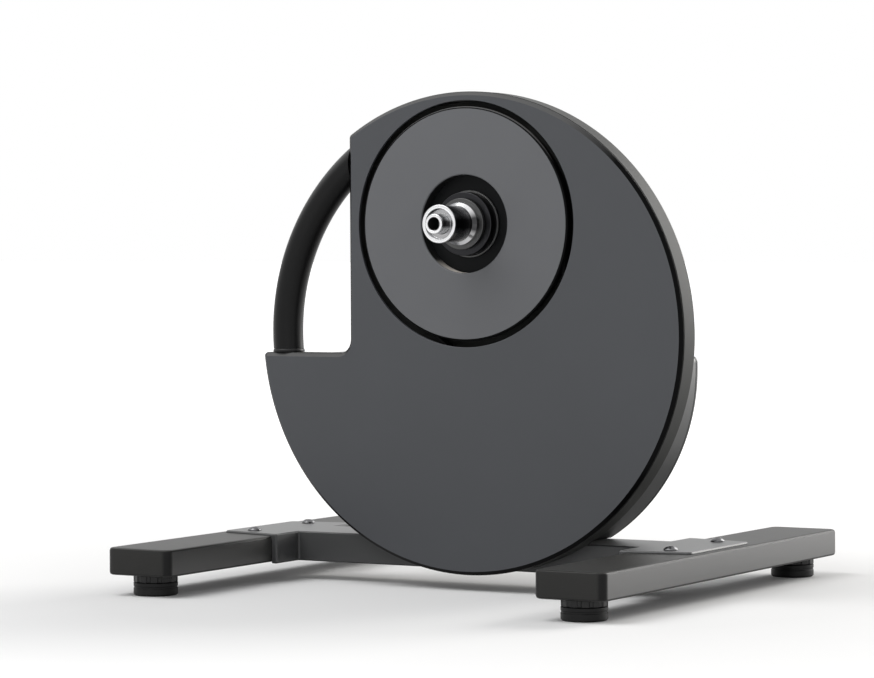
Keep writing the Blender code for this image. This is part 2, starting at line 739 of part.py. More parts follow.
def bolt(name, centre, along_y, seat, length, look):
    """A dome-head bolt. Its head stands on the seat, and its shank runs below or behind it."""
    way = 1.0 if along_y else -1.0
    top = seat - way * BOLT_HEAD_HEIGHT
    profile = [
        (0.0, top + way * BOLT_SOCKET_DEPTH),
        (BOLT_SOCKET_RADIUS, top + way * BOLT_SOCKET_DEPTH),
        (BOLT_SOCKET_RADIUS, top),
        (BOLT_HEAD_RADIUS * DOME_TOP_SHARE, top + way * BOLT_HEAD_HEIGHT * DOME_TOP_DROP),
        (BOLT_HEAD_RADIUS * DOME_SIDE_SHARE, top + way * BOLT_HEAD_HEIGHT * DOME_SIDE_DROP),
        (BOLT_HEAD_RADIUS, seat),
        (BOLT_RADIUS, seat),
        (BOLT_RADIUS, seat + way * length),
        (0.0, seat + way * length),
    ]
    return finish(turned(name, profile, SMALL_STEPS, centre, along_y, closed=False), look)


def bolts():
    for number, x, y in bar_bolt_places():
        bolt(f"bar_bolt_{number}", (x, y, 0), False, BEAM_TOP + GAP, BAR_BOLT_LENGTH, GROUND_STEEL)
    for number, x in case_bolt_places():
        seat = WALL_FRONT_Y - GAP
        bolt(f"case_bolt_{number}", (x, 0, CASE_BOLT_Z), True, seat, CASE_BOLT_LENGTH, GROUND_STEEL)


def feet():
    for number, x, y in foot_places():
        pad(number, x, y)
        wheel(number, x, y)
        bush(number, x, y)


def pad(number, x, y):
    """A rubber pad with a blind socket for the wheel's pivot."""
    floor = PAD_HEIGHT - PIVOT_LENGTH - GAP
    profile = [
        (0.0, floor),
        (PIVOT_RADIUS + GAP, floor),
        (PIVOT_RADIUS + GAP, PAD_HEIGHT),
        (FOOT_RADIUS, PAD_HEIGHT),
        (FOOT_RADIUS, PAD_CHAMFER),
        (FOOT_RADIUS - PAD_CHAMFER, 0.0),
        (0.0, 0.0),
    ]
    piece = turned(
        f"foot_pad_{number}", profile, MIDDLE_STEPS, (x, y, 0), along_y=False, closed=False
    )
    return finish(piece, RUBBER)


def wheel(number, x, y):
    """A notched levelling wheel with its stud above and its pivot below."""
    low = PAD_HEIGHT + GAP
    high = low + WHEEL_HEIGHT
    root = FOOT_RADIUS - WHEEL_NOTCH_DEPTH
    outline = star_outline(x, y, root, FOOT_RADIUS, WHEEL_NOTCHES, WHEEL_RIDGE_SHARE)
    piece = flat_piece(f"foot_wheel_{number}", [outline], low, high, upright=False)
    join(
        piece,
        cylinder(
            f"foot_stud_{number}", (x, y, low + GAP), (0, 0, 1), STUD_RADIUS,
            WHEEL_HEIGHT - GAP + STUD_LENGTH,
        ),
        cylinder(
            f"foot_pivot_{number}", (x, y, low - PIVOT_LENGTH), (0, 0, 1), PIVOT_RADIUS,
            PIVOT_LENGTH + GAP,
        ),
    )
    piece.data.transform(Matrix.Translation((-x, -y, 0)))
    piece.matrix_world = Matrix.Translation((x, y, 0)) @ piece.matrix_world
    return finish(piece, BLACK_PLASTIC)


def bush(number, x, y):
    top = BAR_BOTTOM + STUD_LENGTH
    inner, outer = STUD_RADIUS + GAP, BUSH_RADIUS
    profile = [(outer, top), (outer, BAR_BOTTOM), (inner, BAR_BOTTOM), (inner, top)]
    piece = turned(f"foot_bush_{number}", profile, SMALL_STEPS, (x, y, 0), along_y=False)
    return finish(piece, GROUND_STEEL)


def chamfer_front(plate, width):
    """Chamfers the outer edge of the cover's front face, and leaves its opening sharp."""
    shape = bmesh.new()
    shape.from_mesh(plate.data)
    front = max(vert.co.z for vert in shape.verts)
    centre = Vector((AXLE_X, AXLE_Z, front))
    edges = [
        edge for edge in shape.edges
        if edge.calc_face_angle() > BEVEL_ANGLE
        and all((vert.co - centre).length > DISC_OPENING + GAP for vert in edge.verts)
        and all(front - vert.co.z < GAP for vert in edge.verts)
    ]
    bmesh.ops.bevel(shape, geom=edges, offset=width, segments=1, profile=0.5, affect="EDGES")
    shape.to_mesh(plate.data)
    shape.free()


def front_cover():
    outline = case_outline(COVER_SET_IN)
    opening = circle(AXLE_X, AXLE_Z, DISC_OPENING, DISC_STEPS)
    cover = flat_piece("front_cover", [outline, opening], CASE_FRONT_Y, COVER_BACK_Y)
    chamfer_front(cover, COVER_CHAMFER)
    pocket = flat_piece(
        "cover_pocket", [case_outline(COVER_SET_IN + COVER_LIP)], CASE_FRONT_Y + COVER_SKIN,
        COVER_BACK_Y + COVER_DEPTH, as_cutter=True,
    )
    return finish(cut(cover, pocket), COATED)


def handle_point(height):
    """The angle of the handle's centre line at a height."""
    return math.pi + math.asin((CASE_Z - height) / HANDLE_ARC_RADIUS)


def handle_entry():
    """Where the handle's centre line meets the notch's wall, and the way that it points there."""
    angle = math.acos((NOTCH_X - AXLE_X) / HANDLE_ARC_RADIUS)
    place = Vector((
        AXLE_X + HANDLE_ARC_RADIUS * math.cos(angle), HANDLE_Y, CASE_Z + HANDLE_ARC_RADIUS * math.sin(angle)
    ))
    return place, Vector((math.sin(angle), 0.0, -math.cos(angle)))


def handle_foot():
    """Where the handle's centre line meets the ledge."""
    angle = handle_point(LEDGE_Z)
    return Vector((AXLE_X + HANDLE_ARC_RADIUS * math.cos(angle), HANDLE_Y, LEDGE_Z))


def plug_block(name, place, direction):
    """A block of the casting round a plug's hole, inside the wall."""
    turn = direction.to_track_quat("Z", "Y").to_matrix().to_4x4()
    half = PLUG_BLOCK / 2
    block = box(name, (-half, -half, 0), (half, half, PLUG_DEPTH + BAR_WALL))
    middle = direction * (PLUG_DEPTH + BAR_WALL) / 2
    block.matrix_world = Matrix.Translation(place + middle) @ turn
    front, back = SPIGOT_FRONT_Y + PLUG_BLOCK_INSET, CASE_BACK_Y - PLUG_BLOCK_INSET
    reach = CASE_RADIUS
    keep = box(name + "_limit", (-reach, front, 0), (reach, back, 2 * reach))
    boolean(block, keep, "INTERSECT")
    inside = flat_piece(
        name + "_inside", [case_outline(GROOVE_DEPTH + PLUG_BLOCK_INSET)], front - COVER_DEPTH,
        back + COVER_DEPTH, as_cutter=True,
    )
    return boolean(block, inside, "INTERSECT")


def main_frame():
    """The main casting: rim band, back wall, spigot, bosses, ribs and the plugs' blocks."""
    frame = flat_piece("main_frame", [case_outline(0.0)], RIM_FRONT_Y, CASE_BACK_Y)
    spigot = flat_piece(
        "frame_spigot", [case_outline(GROOVE_DEPTH)], SPIGOT_FRONT_Y, CASE_BACK_Y - CASE_BACK_WALL / 2,
        as_cutter=True,
    )
    pocket = flat_piece(
        "frame_pocket", [case_outline(CASE_WALL)], CASE_FRONT_Y, WALL_FRONT_Y, as_cutter=True
    )
    join(frame, spigot)
    cut(frame, pocket)
    join(
        frame,
        drum("hub_boss", AXLE_X, AXLE_Z, HUB_BOSS_RADIUS, HUB_BOSS_FRONT_Y, HUB_BOSS_BACK_Y, MIDDLE_STEPS),
        drum(
            "shaft_boss", SHAFT_X, SHAFT_Z, SHAFT_BOSS_RADIUS, BELT_BACK_Y + 2 * TIP_GAP,
            FLYWHEEL_FRONT_Y - 3 * TIP_GAP, MIDDLE_STEPS,
        ),
    )
    rib_reach = CASE_RADIUS - (AXLE_Z - CASE_Z) - CASE_WALL / 2
    for i in range(CASE_RIBS):
        angle = CASE_RIB_START + i * CASE_RIB_TURN
        turn = Matrix.Rotation(-angle, 4, "Y")
        middle = (HUB_BOSS_RADIUS + rib_reach) / 2
        place = Vector((AXLE_X + middle * math.cos(angle), 0, AXLE_Z + middle * math.sin(angle)))
        half = (rib_reach - HUB_BOSS_RADIUS) / 2 + RIB
        low = place + Vector((-half, WALL_FRONT_Y - CASE_RIB_HEIGHT, -RIB / 2))
        high = place + Vector((half, WALL_FRONT_Y + CASE_BACK_WALL / 2, RIB / 2))
        join(frame, box(f"frame_rib_{i}", low, high, turn=turn))
    place, direction = handle_entry()
    foot = handle_foot()
    join(
        frame,
        plug_block("upper_block", place, direction),
        plug_block("lower_block", foot, Vector((0, 0, -1))),
    )
    for x in (-1, 1):
        for z in (-1, 1):
            post_x = BOARD_X + x * (BOARD_WIDTH / 2 - STANDOFF_SET_IN)
            post_z = BOARD_Z + z * (BOARD_HEIGHT / 2 - STANDOFF_SET_IN)
            join(frame, drum(
                "standoff", post_x, post_z, STANDOFF_RADIUS, CASE_BACK_Y - CASE_BACK_WALL / 2,
                CASE_BACK_Y + STANDOFF_HEIGHT, POST_STEPS,
            ))
    seat = FRAME_BEARING_RADIUS + GAP
    cut(
        frame,
        drum(
            "hub_bore", AXLE_X, AXLE_Z, HUB_SHAFT_RADIUS + HUB_BORE_CLEARANCE, -BEAM_WIDTH, BEAM_WIDTH,
            MIDDLE_STEPS,
        ),
        drum(
            "hub_seat_left", AXLE_X, AXLE_Z, seat, -BEAM_WIDTH,
            HUB_BOSS_FRONT_Y + FRAME_BEARING_WIDTH + GAP, MIDDLE_STEPS,
        ),
        drum(
            "hub_seat_right", AXLE_X, AXLE_Z, seat, HUB_BOSS_BACK_Y - FRAME_BEARING_WIDTH - GAP,
            BEAM_WIDTH, MIDDLE_STEPS,
        ),
        drum("shaft_bore", SHAFT_X, SHAFT_Z, SHAFT_WAIST + 2 * GAP, -BEAM_WIDTH, BEAM_WIDTH),
        drum(
            "shaft_seat", SHAFT_X, SHAFT_Z, SHAFT_BEARING_RADIUS + GAP, near_bearing_front() - GAP,
            BEAM_WIDTH, MIDDLE_STEPS,
        ),
        cylinder(
            "upper_plug_hole", place - direction * PLUG_DEPTH, direction, PLUG_RADIUS + GAP,
            2 * PLUG_DEPTH + GAP,
        ),
        cylinder(
            "lower_plug_hole", foot + Vector((0, 0, PLUG_DEPTH)), (0, 0, -1), PLUG_RADIUS + GAP,
            2 * PLUG_DEPTH + GAP,
        ),
        drum("idler_hole", IDLER_X, IDLER_Z, BOLT_RADIUS + GAP, -BEAM_WIDTH, 0),
    )
    for number, x in case_bolt_places():
        cut(frame, drum(f"frame_bolt_hole_{number}", x, CASE_BOLT_Z, BOLT_RADIUS + GAP, -BEAM_WIDTH, 0))
    return finish(frame, CASTING)


def near_bearing_front():
    return FLYWHEEL_FRONT_Y - TIP_GAP * 3 - SHAFT_BEARING_WIDTH


def rear_housing():
    """The shell round the flywheel, with screw posts that stay inside its outer surface."""
    back = DRUM_INNER_Y - GAP
    outlines = [drum_outline(0.0), drum_outline(DRUM_WALL)]
    housing = flat_piece("rear_housing", outlines, DRUM_FRONT_Y, back)
    bevel(housing, DRUM_EDGE, 1)
    limit = flat_piece(
        "housing_limit", [drum_outline(DRUM_WALL / 2)], -BEAM_WIDTH, BEAM_WIDTH, as_cutter=True
    )
    post_circle = DRUM_RADIUS - DRUM_WALL - SCREW_POST / 2
    for i, degrees in enumerate(SCREW_POST_ANGLES):
        angle = math.radians(degrees)
        post = drum(
            f"screw_post_{i}", DRUM_X + post_circle * math.cos(angle),
            DRUM_Z + post_circle * math.sin(angle), SCREW_POST, DRUM_FRONT_Y + SCREW_POST_INSET,
            back - SCREW_POST_INSET, POST_STEPS,
        )
        join(housing, boolean(post, limit, "INTERSECT"))
    cut(housing, cylinder(
        "lens_hole", (LENS_X, 0, DRUM_TOP_Z - 3 * DRUM_WALL), (0, 0, 1), LENS_RADIUS + GAP, 6 * DRUM_WALL
    ))
    return finish(housing, COATED)


def rear_cover():
    cover = flat_piece("rear_cover", [drum_outline(0.0)], DRUM_INNER_Y, DRUM_BACK_Y)
    bevel(cover, DRUM_EDGE, 1)
    boss_front = DRUM_INNER_Y - SHAFT_BEARING_WIDTH - 4 * TIP_GAP
    join(cover, drum(
        "far_boss", SHAFT_X, SHAFT_Z, SHAFT_BOSS_RADIUS, boss_front, DRUM_INNER_Y + DRUM_WALL / 2,
        MIDDLE_STEPS,
    ))
    cut(
        cover,
        drum(
            "far_seat", SHAFT_X, SHAFT_Z, SHAFT_BEARING_RADIUS + GAP, -BEAM_WIDTH, DRUM_INNER_Y + GAP,
            MIDDLE_STEPS,
        ),
        drum("socket_hole", SOCKET_X, SOCKET_Z, SOCKET_RADIUS + GAP, 0, BEAM_WIDTH),
    )
    return finish(cover, COATED)


def handle():
    foot = handle_foot()
    entry, direction = handle_entry()
    start = handle_point(LEDGE_Z - HANDLE_RADIUS)
    end = math.acos((NOTCH_X + 2 * HANDLE_RADIUS - AXLE_X) / HANDLE_ARC_RADIUS)
    points = arc(AXLE_X, CASE_Z, HANDLE_ARC_RADIUS, start, end, HANDLE_STEPS)
    curve = bpy.data.curves.new("handle_tube", "CURVE")
    curve.dimensions = "3D"
    curve.bevel_depth = HANDLE_RADIUS
    curve.bevel_resolution = 3
    spline = curve.splines.new("POLY")
    spline.points.add(len(points) - 1)
    for point, (x, z) in zip(spline.points, points):
        point.co = (x, HANDLE_Y, z, 1.0)
    guide = bpy.data.objects.new("handle_guide", curve)
    CUTTERS.objects.link(guide)
    tube = mesh_from_curve("handle_tube", guide)
    solidify = tube.modifiers.new("wall", "SOLIDIFY")
    solidify.thickness = HANDLE_WALL
    solidify.offset = -1.0
    seat = LEDGE_Z + GAP + COLLAR_HEIGHT + GAP
    reach = CASE_RADIUS
    low_end = box("handle_low_end", (-2 * reach, -reach, 0), (reach, reach, seat))
    high_end = box("handle_high_end", (NOTCH_X - GAP, -reach, 0), (reach, reach, 3 * reach))
    finish(cut(tube, low_end, high_end), BLACK_GLOSS)

    bore = HANDLE_RADIUS - HANDLE_WALL - GAP
    lower = turned(
        "handle_plug_lower",
        [
            (0.0, seat + PLUG_REACH),
            (bore - PLUG_SLACK, seat + PLUG_REACH),
            (bore - PLUG_SLACK, seat - GAP),
            (HANDLE_RADIUS, seat - GAP),
            (COLLAR_RADIUS, LEDGE_Z + GAP + COLLAR_HEIGHT / 2),
            (COLLAR_RADIUS, LEDGE_Z + GAP),
            (PLUG_RADIUS, LEDGE_Z + GAP),
            (PLUG_RADIUS, LEDGE_Z - PLUG_DEPTH),
            (0.0, LEDGE_Z - PLUG_DEPTH),
        ],
        SMALL_STEPS, (foot.x, foot.y, 0), along_y=False, closed=False,
    )
    finish(lower, BLACK_PLASTIC)
    upper = cylinder(
        "handle_plug_upper", entry - direction * (PLUG_REACH + HANDLE_RADIUS), direction, bore - PLUG_SLACK,
        2 * HANDLE_RADIUS + PLUG_REACH, SMALL_STEPS, as_cutter=False,
    )
    cut(upper, box("upper_plug_end", (NOTCH_X - GAP, -reach, 0), (reach, reach, 3 * reach)))
    join(upper, cylinder(
        "upper_plug_pin", entry - direction * PLUG_REACH, direction, PLUG_RADIUS, PLUG_REACH + PLUG_DEPTH
    ))
    finish(upper, BLACK_PLASTIC)


def axle_group():
    """The still pieces on the axle: tube, end caps, seal cap and bearings."""
    centre = (AXLE_X, 0, AXLE_Z)
    axle_back = RIGHT_FACE_Y - RIGHT_CAP_LENGTH / 2
    finish(ring("axle_tube", AXLE_X, AXLE_Z, AXLE_BORE, AXLE_RADIUS, AXLE_FRONT_Y, axle_back), GROUND_STEEL)
    floor = LEFT_FACE_Y + END_CAP_RECESS_DEPTH
    cap_back = SEAL_CAP_FRONT_Y - GAP
    socket = AXLE_FRONT_Y - GAP
    cap = turned(
        "left_end_cap",
        [
            (TIP_RADIUS, LEFT_FACE_Y - TIP_LENGTH),
            (TIP_RADIUS, floor),
            (END_CAP_RECESS, floor),
            (END_CAP_RECESS, LEFT_FACE_Y),
            (END_CAP_RADIUS, LEFT_FACE_Y),
            (END_CAP_RADIUS, LEFT_FACE_Y + END_CAP_STRAIGHT),
            (END_CAP_FLARE, cap_back - (cap_back - LEFT_FACE_Y - END_CAP_STRAIGHT) / 3),
            (END_CAP_FLARE, cap_back),
            (AXLE_RADIUS + GAP, cap_back),
            (AXLE_RADIUS + GAP, socket),
            (AXLE_BORE, socket),
            (AXLE_BORE, LEFT_FACE_Y - TIP_LENGTH),
        ],
        MIDDLE_STEPS, centre,
    )
    finish(cap, POLISHED)
    finish(
        ring(
            "left_seal_cap", AXLE_X, AXLE_Z, AXLE_RADIUS + GAP, SEAL_CAP_RADIUS, SEAL_CAP_FRONT_Y,
            SEAL_CAP_BACK_Y - GAP, MIDDLE_STEPS,
        ),
        DARK_STEEL,
    )
    right = turned(
        "right_end_cap",
        [
            (RIGHT_CAP_RADIUS, RIGHT_CAP_FRONT_Y),
            (RIGHT_CAP_RADIUS, RIGHT_FACE_Y),
            (AXLE_BORE, RIGHT_FACE_Y),
            (AXLE_BORE, axle_back + GAP),
            (AXLE_RADIUS + GAP, axle_back + GAP),
            (AXLE_RADIUS + GAP, RIGHT_CAP_FRONT_Y),
        ],
        MIDDLE_STEPS, centre,
    )
    finish(right, POLISHED)
    bearing_front = HUB_BARREL_FRONT_Y + GAP
    inner = AXLE_RADIUS + GAP
    finish(
        ring(
            "axle_bearing_left", AXLE_X, AXLE_Z, inner, AXLE_BEARING_RADIUS, bearing_front,
            bearing_front + AXLE_BEARING_WIDTH,
        ),
        GROUND_STEEL,
    )
    finish(
        ring(
            "axle_bearing_right", AXLE_X, AXLE_Z, inner, AXLE_BEARING_RADIUS - BEARING_STEP,
            HUB_SHAFT_BACK_Y - AXLE_BEARING_WIDTH - GAP, HUB_SHAFT_BACK_Y - GAP,
        ),
        GROUND_STEEL,
    )
    finish(
        ring(
            "frame_bearing_left", AXLE_X, AXLE_Z, HUB_SHAFT_RADIUS + GAP, FRAME_BEARING_RADIUS,
            HUB_BOSS_FRONT_Y, HUB_BOSS_FRONT_Y + FRAME_BEARING_WIDTH, MIDDLE_STEPS,
        ),
        GROUND_STEEL,
    )
    finish(
        ring(
            "frame_bearing_right", AXLE_X, AXLE_Z, HUB_SHAFT_RADIUS + GAP, FRAME_BEARING_RADIUS,
            HUB_BOSS_BACK_Y - FRAME_BEARING_WIDTH, HUB_BOSS_BACK_Y, MIDDLE_STEPS,
        ),
        GROUND_STEEL,
    )
    bearing_back = RIGHT_CAP_FRONT_Y - GAP
    finish(
        ring(
            "freehub_bearing", AXLE_X, AXLE_Z, inner, FREEHUB_BORE - GAP,
            bearing_back - FREEHUB_BEARING_WIDTH, bearing_back,
        ),
        GROUND_STEEL,
    )


def hub_group():
    """The turning pieces on the axle: hub shell, drive pulley, face disc and freehub body."""
    centre = (AXLE_X, 0, AXLE_Z)
    seat = AXLE_BEARING_RADIUS + GAP
    seat_back = HUB_BARREL_FRONT_Y + AXLE_BEARING_WIDTH + 2 * GAP
    right_seat = HUB_SHAFT_BACK_Y - AXLE_BEARING_WIDTH - 2 * GAP
    shell = turned(
        "hub_shell",
        [
            (HUB_BARREL_RADIUS, HUB_BARREL_FRONT_Y),
            (HUB_BARREL_RADIUS, HUB_FLANGE_FRONT_Y),
            (HUB_FLANGE_RADIUS, HUB_FLANGE_FRONT_Y),
            (HUB_FLANGE_RADIUS, HUB_FLANGE_BACK_Y),
            (HUB_SHAFT_RADIUS, HUB_FLANGE_BACK_Y),
            (HUB_SHAFT_RADIUS, HUB_SHAFT_BACK_Y),
            (seat - BEARING_STEP, HUB_SHAFT_BACK_Y),
            (seat - BEARING_STEP, right_seat),
            (HUB_BORE, right_seat),
            (HUB_BORE, seat_back),
            (seat, seat_back),
            (seat, HUB_BARREL_FRONT_Y),
        ],
        MIDDLE_STEPS, centre,
    )
    finish(shell, DARK_STEEL)
    rim_front = BELT_FRONT_Y - GAP - PULLEY_FLANGE_WIDTH
    rim_back = BELT_BACK_Y + GAP + PULLEY_FLANGE_WIDTH
    rim_inner = PULLEY_RADIUS - PULLEY_RIM
    pulley = turned(
        "drive_pulley",
        [
            (PULLEY_RADIUS + PULLEY_FLANGE, rim_front),
            (PULLEY_RADIUS + PULLEY_FLANGE, rim_front + PULLEY_FLANGE_WIDTH),
            (PULLEY_RADIUS, rim_front + PULLEY_FLANGE_WIDTH),
            (PULLEY_RADIUS, rim_back - PULLEY_FLANGE_WIDTH),
            (PULLEY_RADIUS + PULLEY_FLANGE, rim_back - PULLEY_FLANGE_WIDTH),
            (PULLEY_RADIUS + PULLEY_FLANGE, rim_back),
            (rim_inner, rim_back),
            (rim_inner, WEB_BACK_Y),
            (HUB_SHAFT_RADIUS + GAP, WEB_BACK_Y),
            (HUB_SHAFT_RADIUS + GAP, WEB_FRONT_Y),
            (rim_inner, WEB_FRONT_Y),
            (rim_inner, rim_front),
        ],
        DISC_STEPS, centre,
    )
    finish(pulley, ALUMINIUM)
    disc = turned(
        "pulley_disc",
        [
            (DISC_RADIUS - DISC_CHAMFER, DISC_FRONT_Y),
            (DISC_RADIUS, DISC_FRONT_Y + DISC_CHAMFER),
            (DISC_RADIUS, DISC_BACK_Y),
            (DISC_RECESS + DISC_COLLAR, DISC_BACK_Y),
            (DISC_RECESS + DISC_COLLAR, WEB_FRONT_Y - GAP),
            (DISC_RECESS, WEB_FRONT_Y - GAP),
            (DISC_RECESS, DISC_FRONT_Y + DISC_CHAMFER),
            (DISC_RECESS + DISC_CHAMFER, DISC_FRONT_Y),
        ],
        DISC_STEPS, centre,
    )
    finish(disc, DISC_FINISH)
    outline = star_outline(
        AXLE_X, AXLE_Z, FREEHUB_ROOT, FREEHUB_RADIUS, FREEHUB_SPLINES, FREEHUB_SPLINE_SHARE
    )
    bore = circle(AXLE_X, AXLE_Z, FREEHUB_BORE, MIDDLE_STEPS)
    front = HUB_SHAFT_BACK_Y + TIP_GAP
    freehub = flat_piece("freehub_body", [outline, bore], front, RIGHT_CAP_FRONT_Y - GAP)
    finish(freehub, ALUMINIUM)


def belt_pulleys():
    return [
        (AXLE_X, AXLE_Z, PULLEY_RADIUS + BELT_GAP),
        (IDLER_X, IDLER_Z, -(IDLER_RADIUS + BELT_GAP + BELT_THICKNESS)),
        (SHAFT_X, SHAFT_Z, SMALL_PULLEY_RADIUS + BELT_GAP),
    ]


def belt_group():
    pulleys = belt_pulleys()
    outlines = [belt_outline(pulleys, BELT_THICKNESS), belt_outline(pulleys, 0.0)]
    finish(flat_piece("drive_belt", outlines, BELT_FRONT_Y, BELT_BACK_Y), RUBBER)
    small = turned(
        "small_pulley",
        [
            (SMALL_PULLEY_RADIUS, BELT_FRONT_Y - GAP),
            (SMALL_PULLEY_RADIUS, BELT_BACK_Y),
            (SMALL_PULLEY_RADIUS + PULLEY_FLANGE, BELT_BACK_Y + GAP),
            (SMALL_PULLEY_RADIUS + PULLEY_FLANGE, BELT_BACK_Y + GAP + PULLEY_FLANGE_WIDTH),
            (SHAFT_RADIUS + GAP, BELT_BACK_Y + GAP + PULLEY_FLANGE_WIDTH),
            (SHAFT_RADIUS + GAP, BELT_FRONT_Y - GAP),
        ],
        MIDDLE_STEPS, (SHAFT_X, 0, SHAFT_Z),
    )
    finish(small, ALUMINIUM)
    arm_front = WALL_FRONT_Y - GAP - IDLER_ARM_THICKNESS
    finish(
        ring(
            "idler_pulley", IDLER_X, IDLER_Z, IDLER_BORE + GAP, IDLER_RADIUS,
            BELT_FRONT_Y + IDLER_SET_IN, arm_front - GAP, MIDDLE_STEPS,
        ),
        BLACK_PLASTIC,
    )
    idler_bolt(arm_front)
    idler_arm(arm_front)


def idler_bolt(arm_front):
    """The bolt that the idler turns on. Its collar stands on the arm."""
    head_back = BELT_FRONT_Y + IDLER_SET_IN - GAP
    profile = [
        (0.0, head_back - IDLER_HEAD),
        (IDLER_BORE + IDLER_HEAD, head_back - IDLER_HEAD),
        (IDLER_BORE + IDLER_HEAD, head_back),
        (IDLER_BORE, head_back),
        (IDLER_BORE, arm_front - GAP),
        (BOLT_RADIUS, arm_front - GAP),
        (BOLT_RADIUS, CASE_BACK_Y - GAP),
        (0.0, CASE_BACK_Y - GAP),
    ]
    piece = turned("idler_bolt", profile, SMALL_STEPS, (IDLER_X, 0, IDLER_Z), closed=False)
    return finish(piece, GROUND_STEEL)


def idler_arm(arm_front):
    """A flat arm from the idler's bolt to its own seat on the wall."""
    along = Vector((math.cos(IDLER_ARM_ANGLE), math.sin(IDLER_ARM_ANGLE))) * IDLER_ARM_LENGTH
    half = IDLER_ARM_WIDTH / 2
    start = IDLER_ARM_ANGLE + math.pi / 2
    turn = start + math.pi
    end = turn + math.pi
    points = arc(IDLER_X, IDLER_Z, half, start, turn, IDLER_END_STEPS)
    points += arc(IDLER_X + along.x, IDLER_Z + along.y, half, turn, end, IDLER_END_STEPS)
    hole = circle(IDLER_X, IDLER_Z, BOLT_RADIUS + GAP, SMALL_STEPS)
    return finish(flat_piece("idler_arm", [points, hole], arm_front, WALL_FRONT_Y - GAP), GROUND_STEEL)


def flywheel_group():
    centre = (SHAFT_X, 0, SHAFT_Z)
    wheel_piece = turned(
        "flywheel",
        [
            (FLYWHEEL_RADIUS, FLYWHEEL_FRONT_Y),
            (FLYWHEEL_RADIUS, FLYWHEEL_BACK_Y),
            (FLYWHEEL_CUP, FLYWHEEL_BACK_Y),
            (FLYWHEEL_CUP, CUP_FLOOR_Y),
            (SHAFT_WAIST + GAP, CUP_FLOOR_Y),
            (SHAFT_WAIST + GAP, FLYWHEEL_FRONT_Y),
        ],
        DISC_STEPS, centre,
    )
    finish(wheel_piece, GROUND_STEEL)
    near_front = near_bearing_front()
    near_back = near_front + SHAFT_BEARING_WIDTH
    far_back = DRUM_INNER_Y
    far_front = far_back - SHAFT_BEARING_WIDTH
    shaft = turned(
        "flywheel_shaft",
        [
            (0.0, BELT_FRONT_Y - SHAFT_END),
            (SHAFT_RADIUS, BELT_FRONT_Y - SHAFT_END),
            (SHAFT_RADIUS, near_back + GAP),
            (SHAFT_WAIST, near_back + GAP),
            (SHAFT_WAIST, far_front - GAP),
            (SHAFT_RADIUS, far_front - GAP),
            (SHAFT_RADIUS, far_back - GAP),
            (0.0, far_back - GAP),
        ],
        SMALL_STEPS, centre, closed=False,
    )
    finish(shaft, GROUND_STEEL)
    inner = SHAFT_RADIUS + GAP
    for name, front, back in (("near", near_front, near_back), ("far", far_front, far_back)):
        bearing = ring(f"shaft_bearing_{name}", SHAFT_X, SHAFT_Z, inner, SHAFT_BEARING_RADIUS, front, back)
        finish(bearing, GROUND_STEEL)
    outline = star_outline(SHAFT_X, SHAFT_Z, STATOR_ROOT, STATOR_RADIUS, STATOR_POLES, STATOR_SHARE)
    hole = circle(SHAFT_X, SHAFT_Z, SHAFT_BOSS_RADIUS + GAP, MIDDLE_STEPS)
    stator = flat_piece(
        "brake_stator", [outline, hole], CUP_FLOOR_Y + STATOR_CLEARANCE, DRUM_INNER_Y - GAP
    )
    finish(stator, COPPER)


def electrics():
    half_width = BOARD_WIDTH / 2
    half_height = BOARD_HEIGHT / 2
    board = box(
        "circuit_board", (BOARD_X - half_width, BOARD_FRONT_Y, BOARD_Z - half_height),
        (BOARD_X + half_width, BOARD_FRONT_Y + BOARD_THICKNESS, BOARD_Z + half_height), as_cutter=False,
    )
    finish(board, BOARD_GREEN)
    flange_front = DRUM_BACK_Y + GAP
    flange_back = flange_front + SOCKET_FLANGE
    inner_end = flange_back - SOCKET_LENGTH
    socket = turned(
        "power_socket",
        [
            (0.0, inner_end),
            (SOCKET_RADIUS, inner_end),
            (SOCKET_RADIUS, flange_front),
            (SOCKET_FLANGE_RADIUS, flange_front),
            (SOCKET_FLANGE_RADIUS, flange_back),
            (SOCKET_BORE, flange_back),
            (SOCKET_BORE, inner_end + SOCKET_FLOOR),
            (0.0, inner_end + SOCKET_FLOOR),
        ],
        SMALL_STEPS, (SOCKET_X, 0, SOCKET_Z), closed=False,
    )
    finish(socket, BLACK_PLASTIC)
    top = DRUM_TOP_Z + LENS_PROUD
    lens = turned(
        "status_lens",
        [(0.0, top), (LENS_RADIUS, top), (LENS_RADIUS, top - 2 * DRUM_WALL), (0.0, top - 2 * DRUM_WALL)],
        SMALL_STEPS, (LENS_X, 0, 0), along_y=False, closed=False,
    )
    finish(lens, LENS)
    half = SENSOR_SIZE / 2
    sensor_x = SHAFT_X - FLYWHEEL_RADIUS + SENSOR_SIZE
    sensor = box(
        "speed_sensor", (sensor_x - half, CASE_BACK_Y + GAP, SHAFT_Z - half),
        (sensor_x + half, FLYWHEEL_FRONT_Y - TIP_GAP, SHAFT_Z + half), as_cutter=False,
    )
    finish(sensor, BLACK_PLASTIC)


def main():
    base_beam()
    bar("front_bar", -1)
    bar("rear_bar", 1)
    bolts()
    feet()
    front_cover()
    main_frame()
    rear_housing()
    rear_cover()
    handle()
    axle_group()
    hub_group()
    belt_group()
    flywheel_group()
    electrics()


main()
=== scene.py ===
"""The looks of a direct-drive bicycle trainer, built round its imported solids.

X runs along the beam towards the bicycle's rear, Y along the axle towards the drive side, and Z is up.
The origin is on the floor, in the middle of the base.
"""

import math

import bmesh
import bpy
from bpy.props import FloatProperty, FloatVectorProperty, IntProperty, PointerProperty
from mathutils import Matrix, Vector


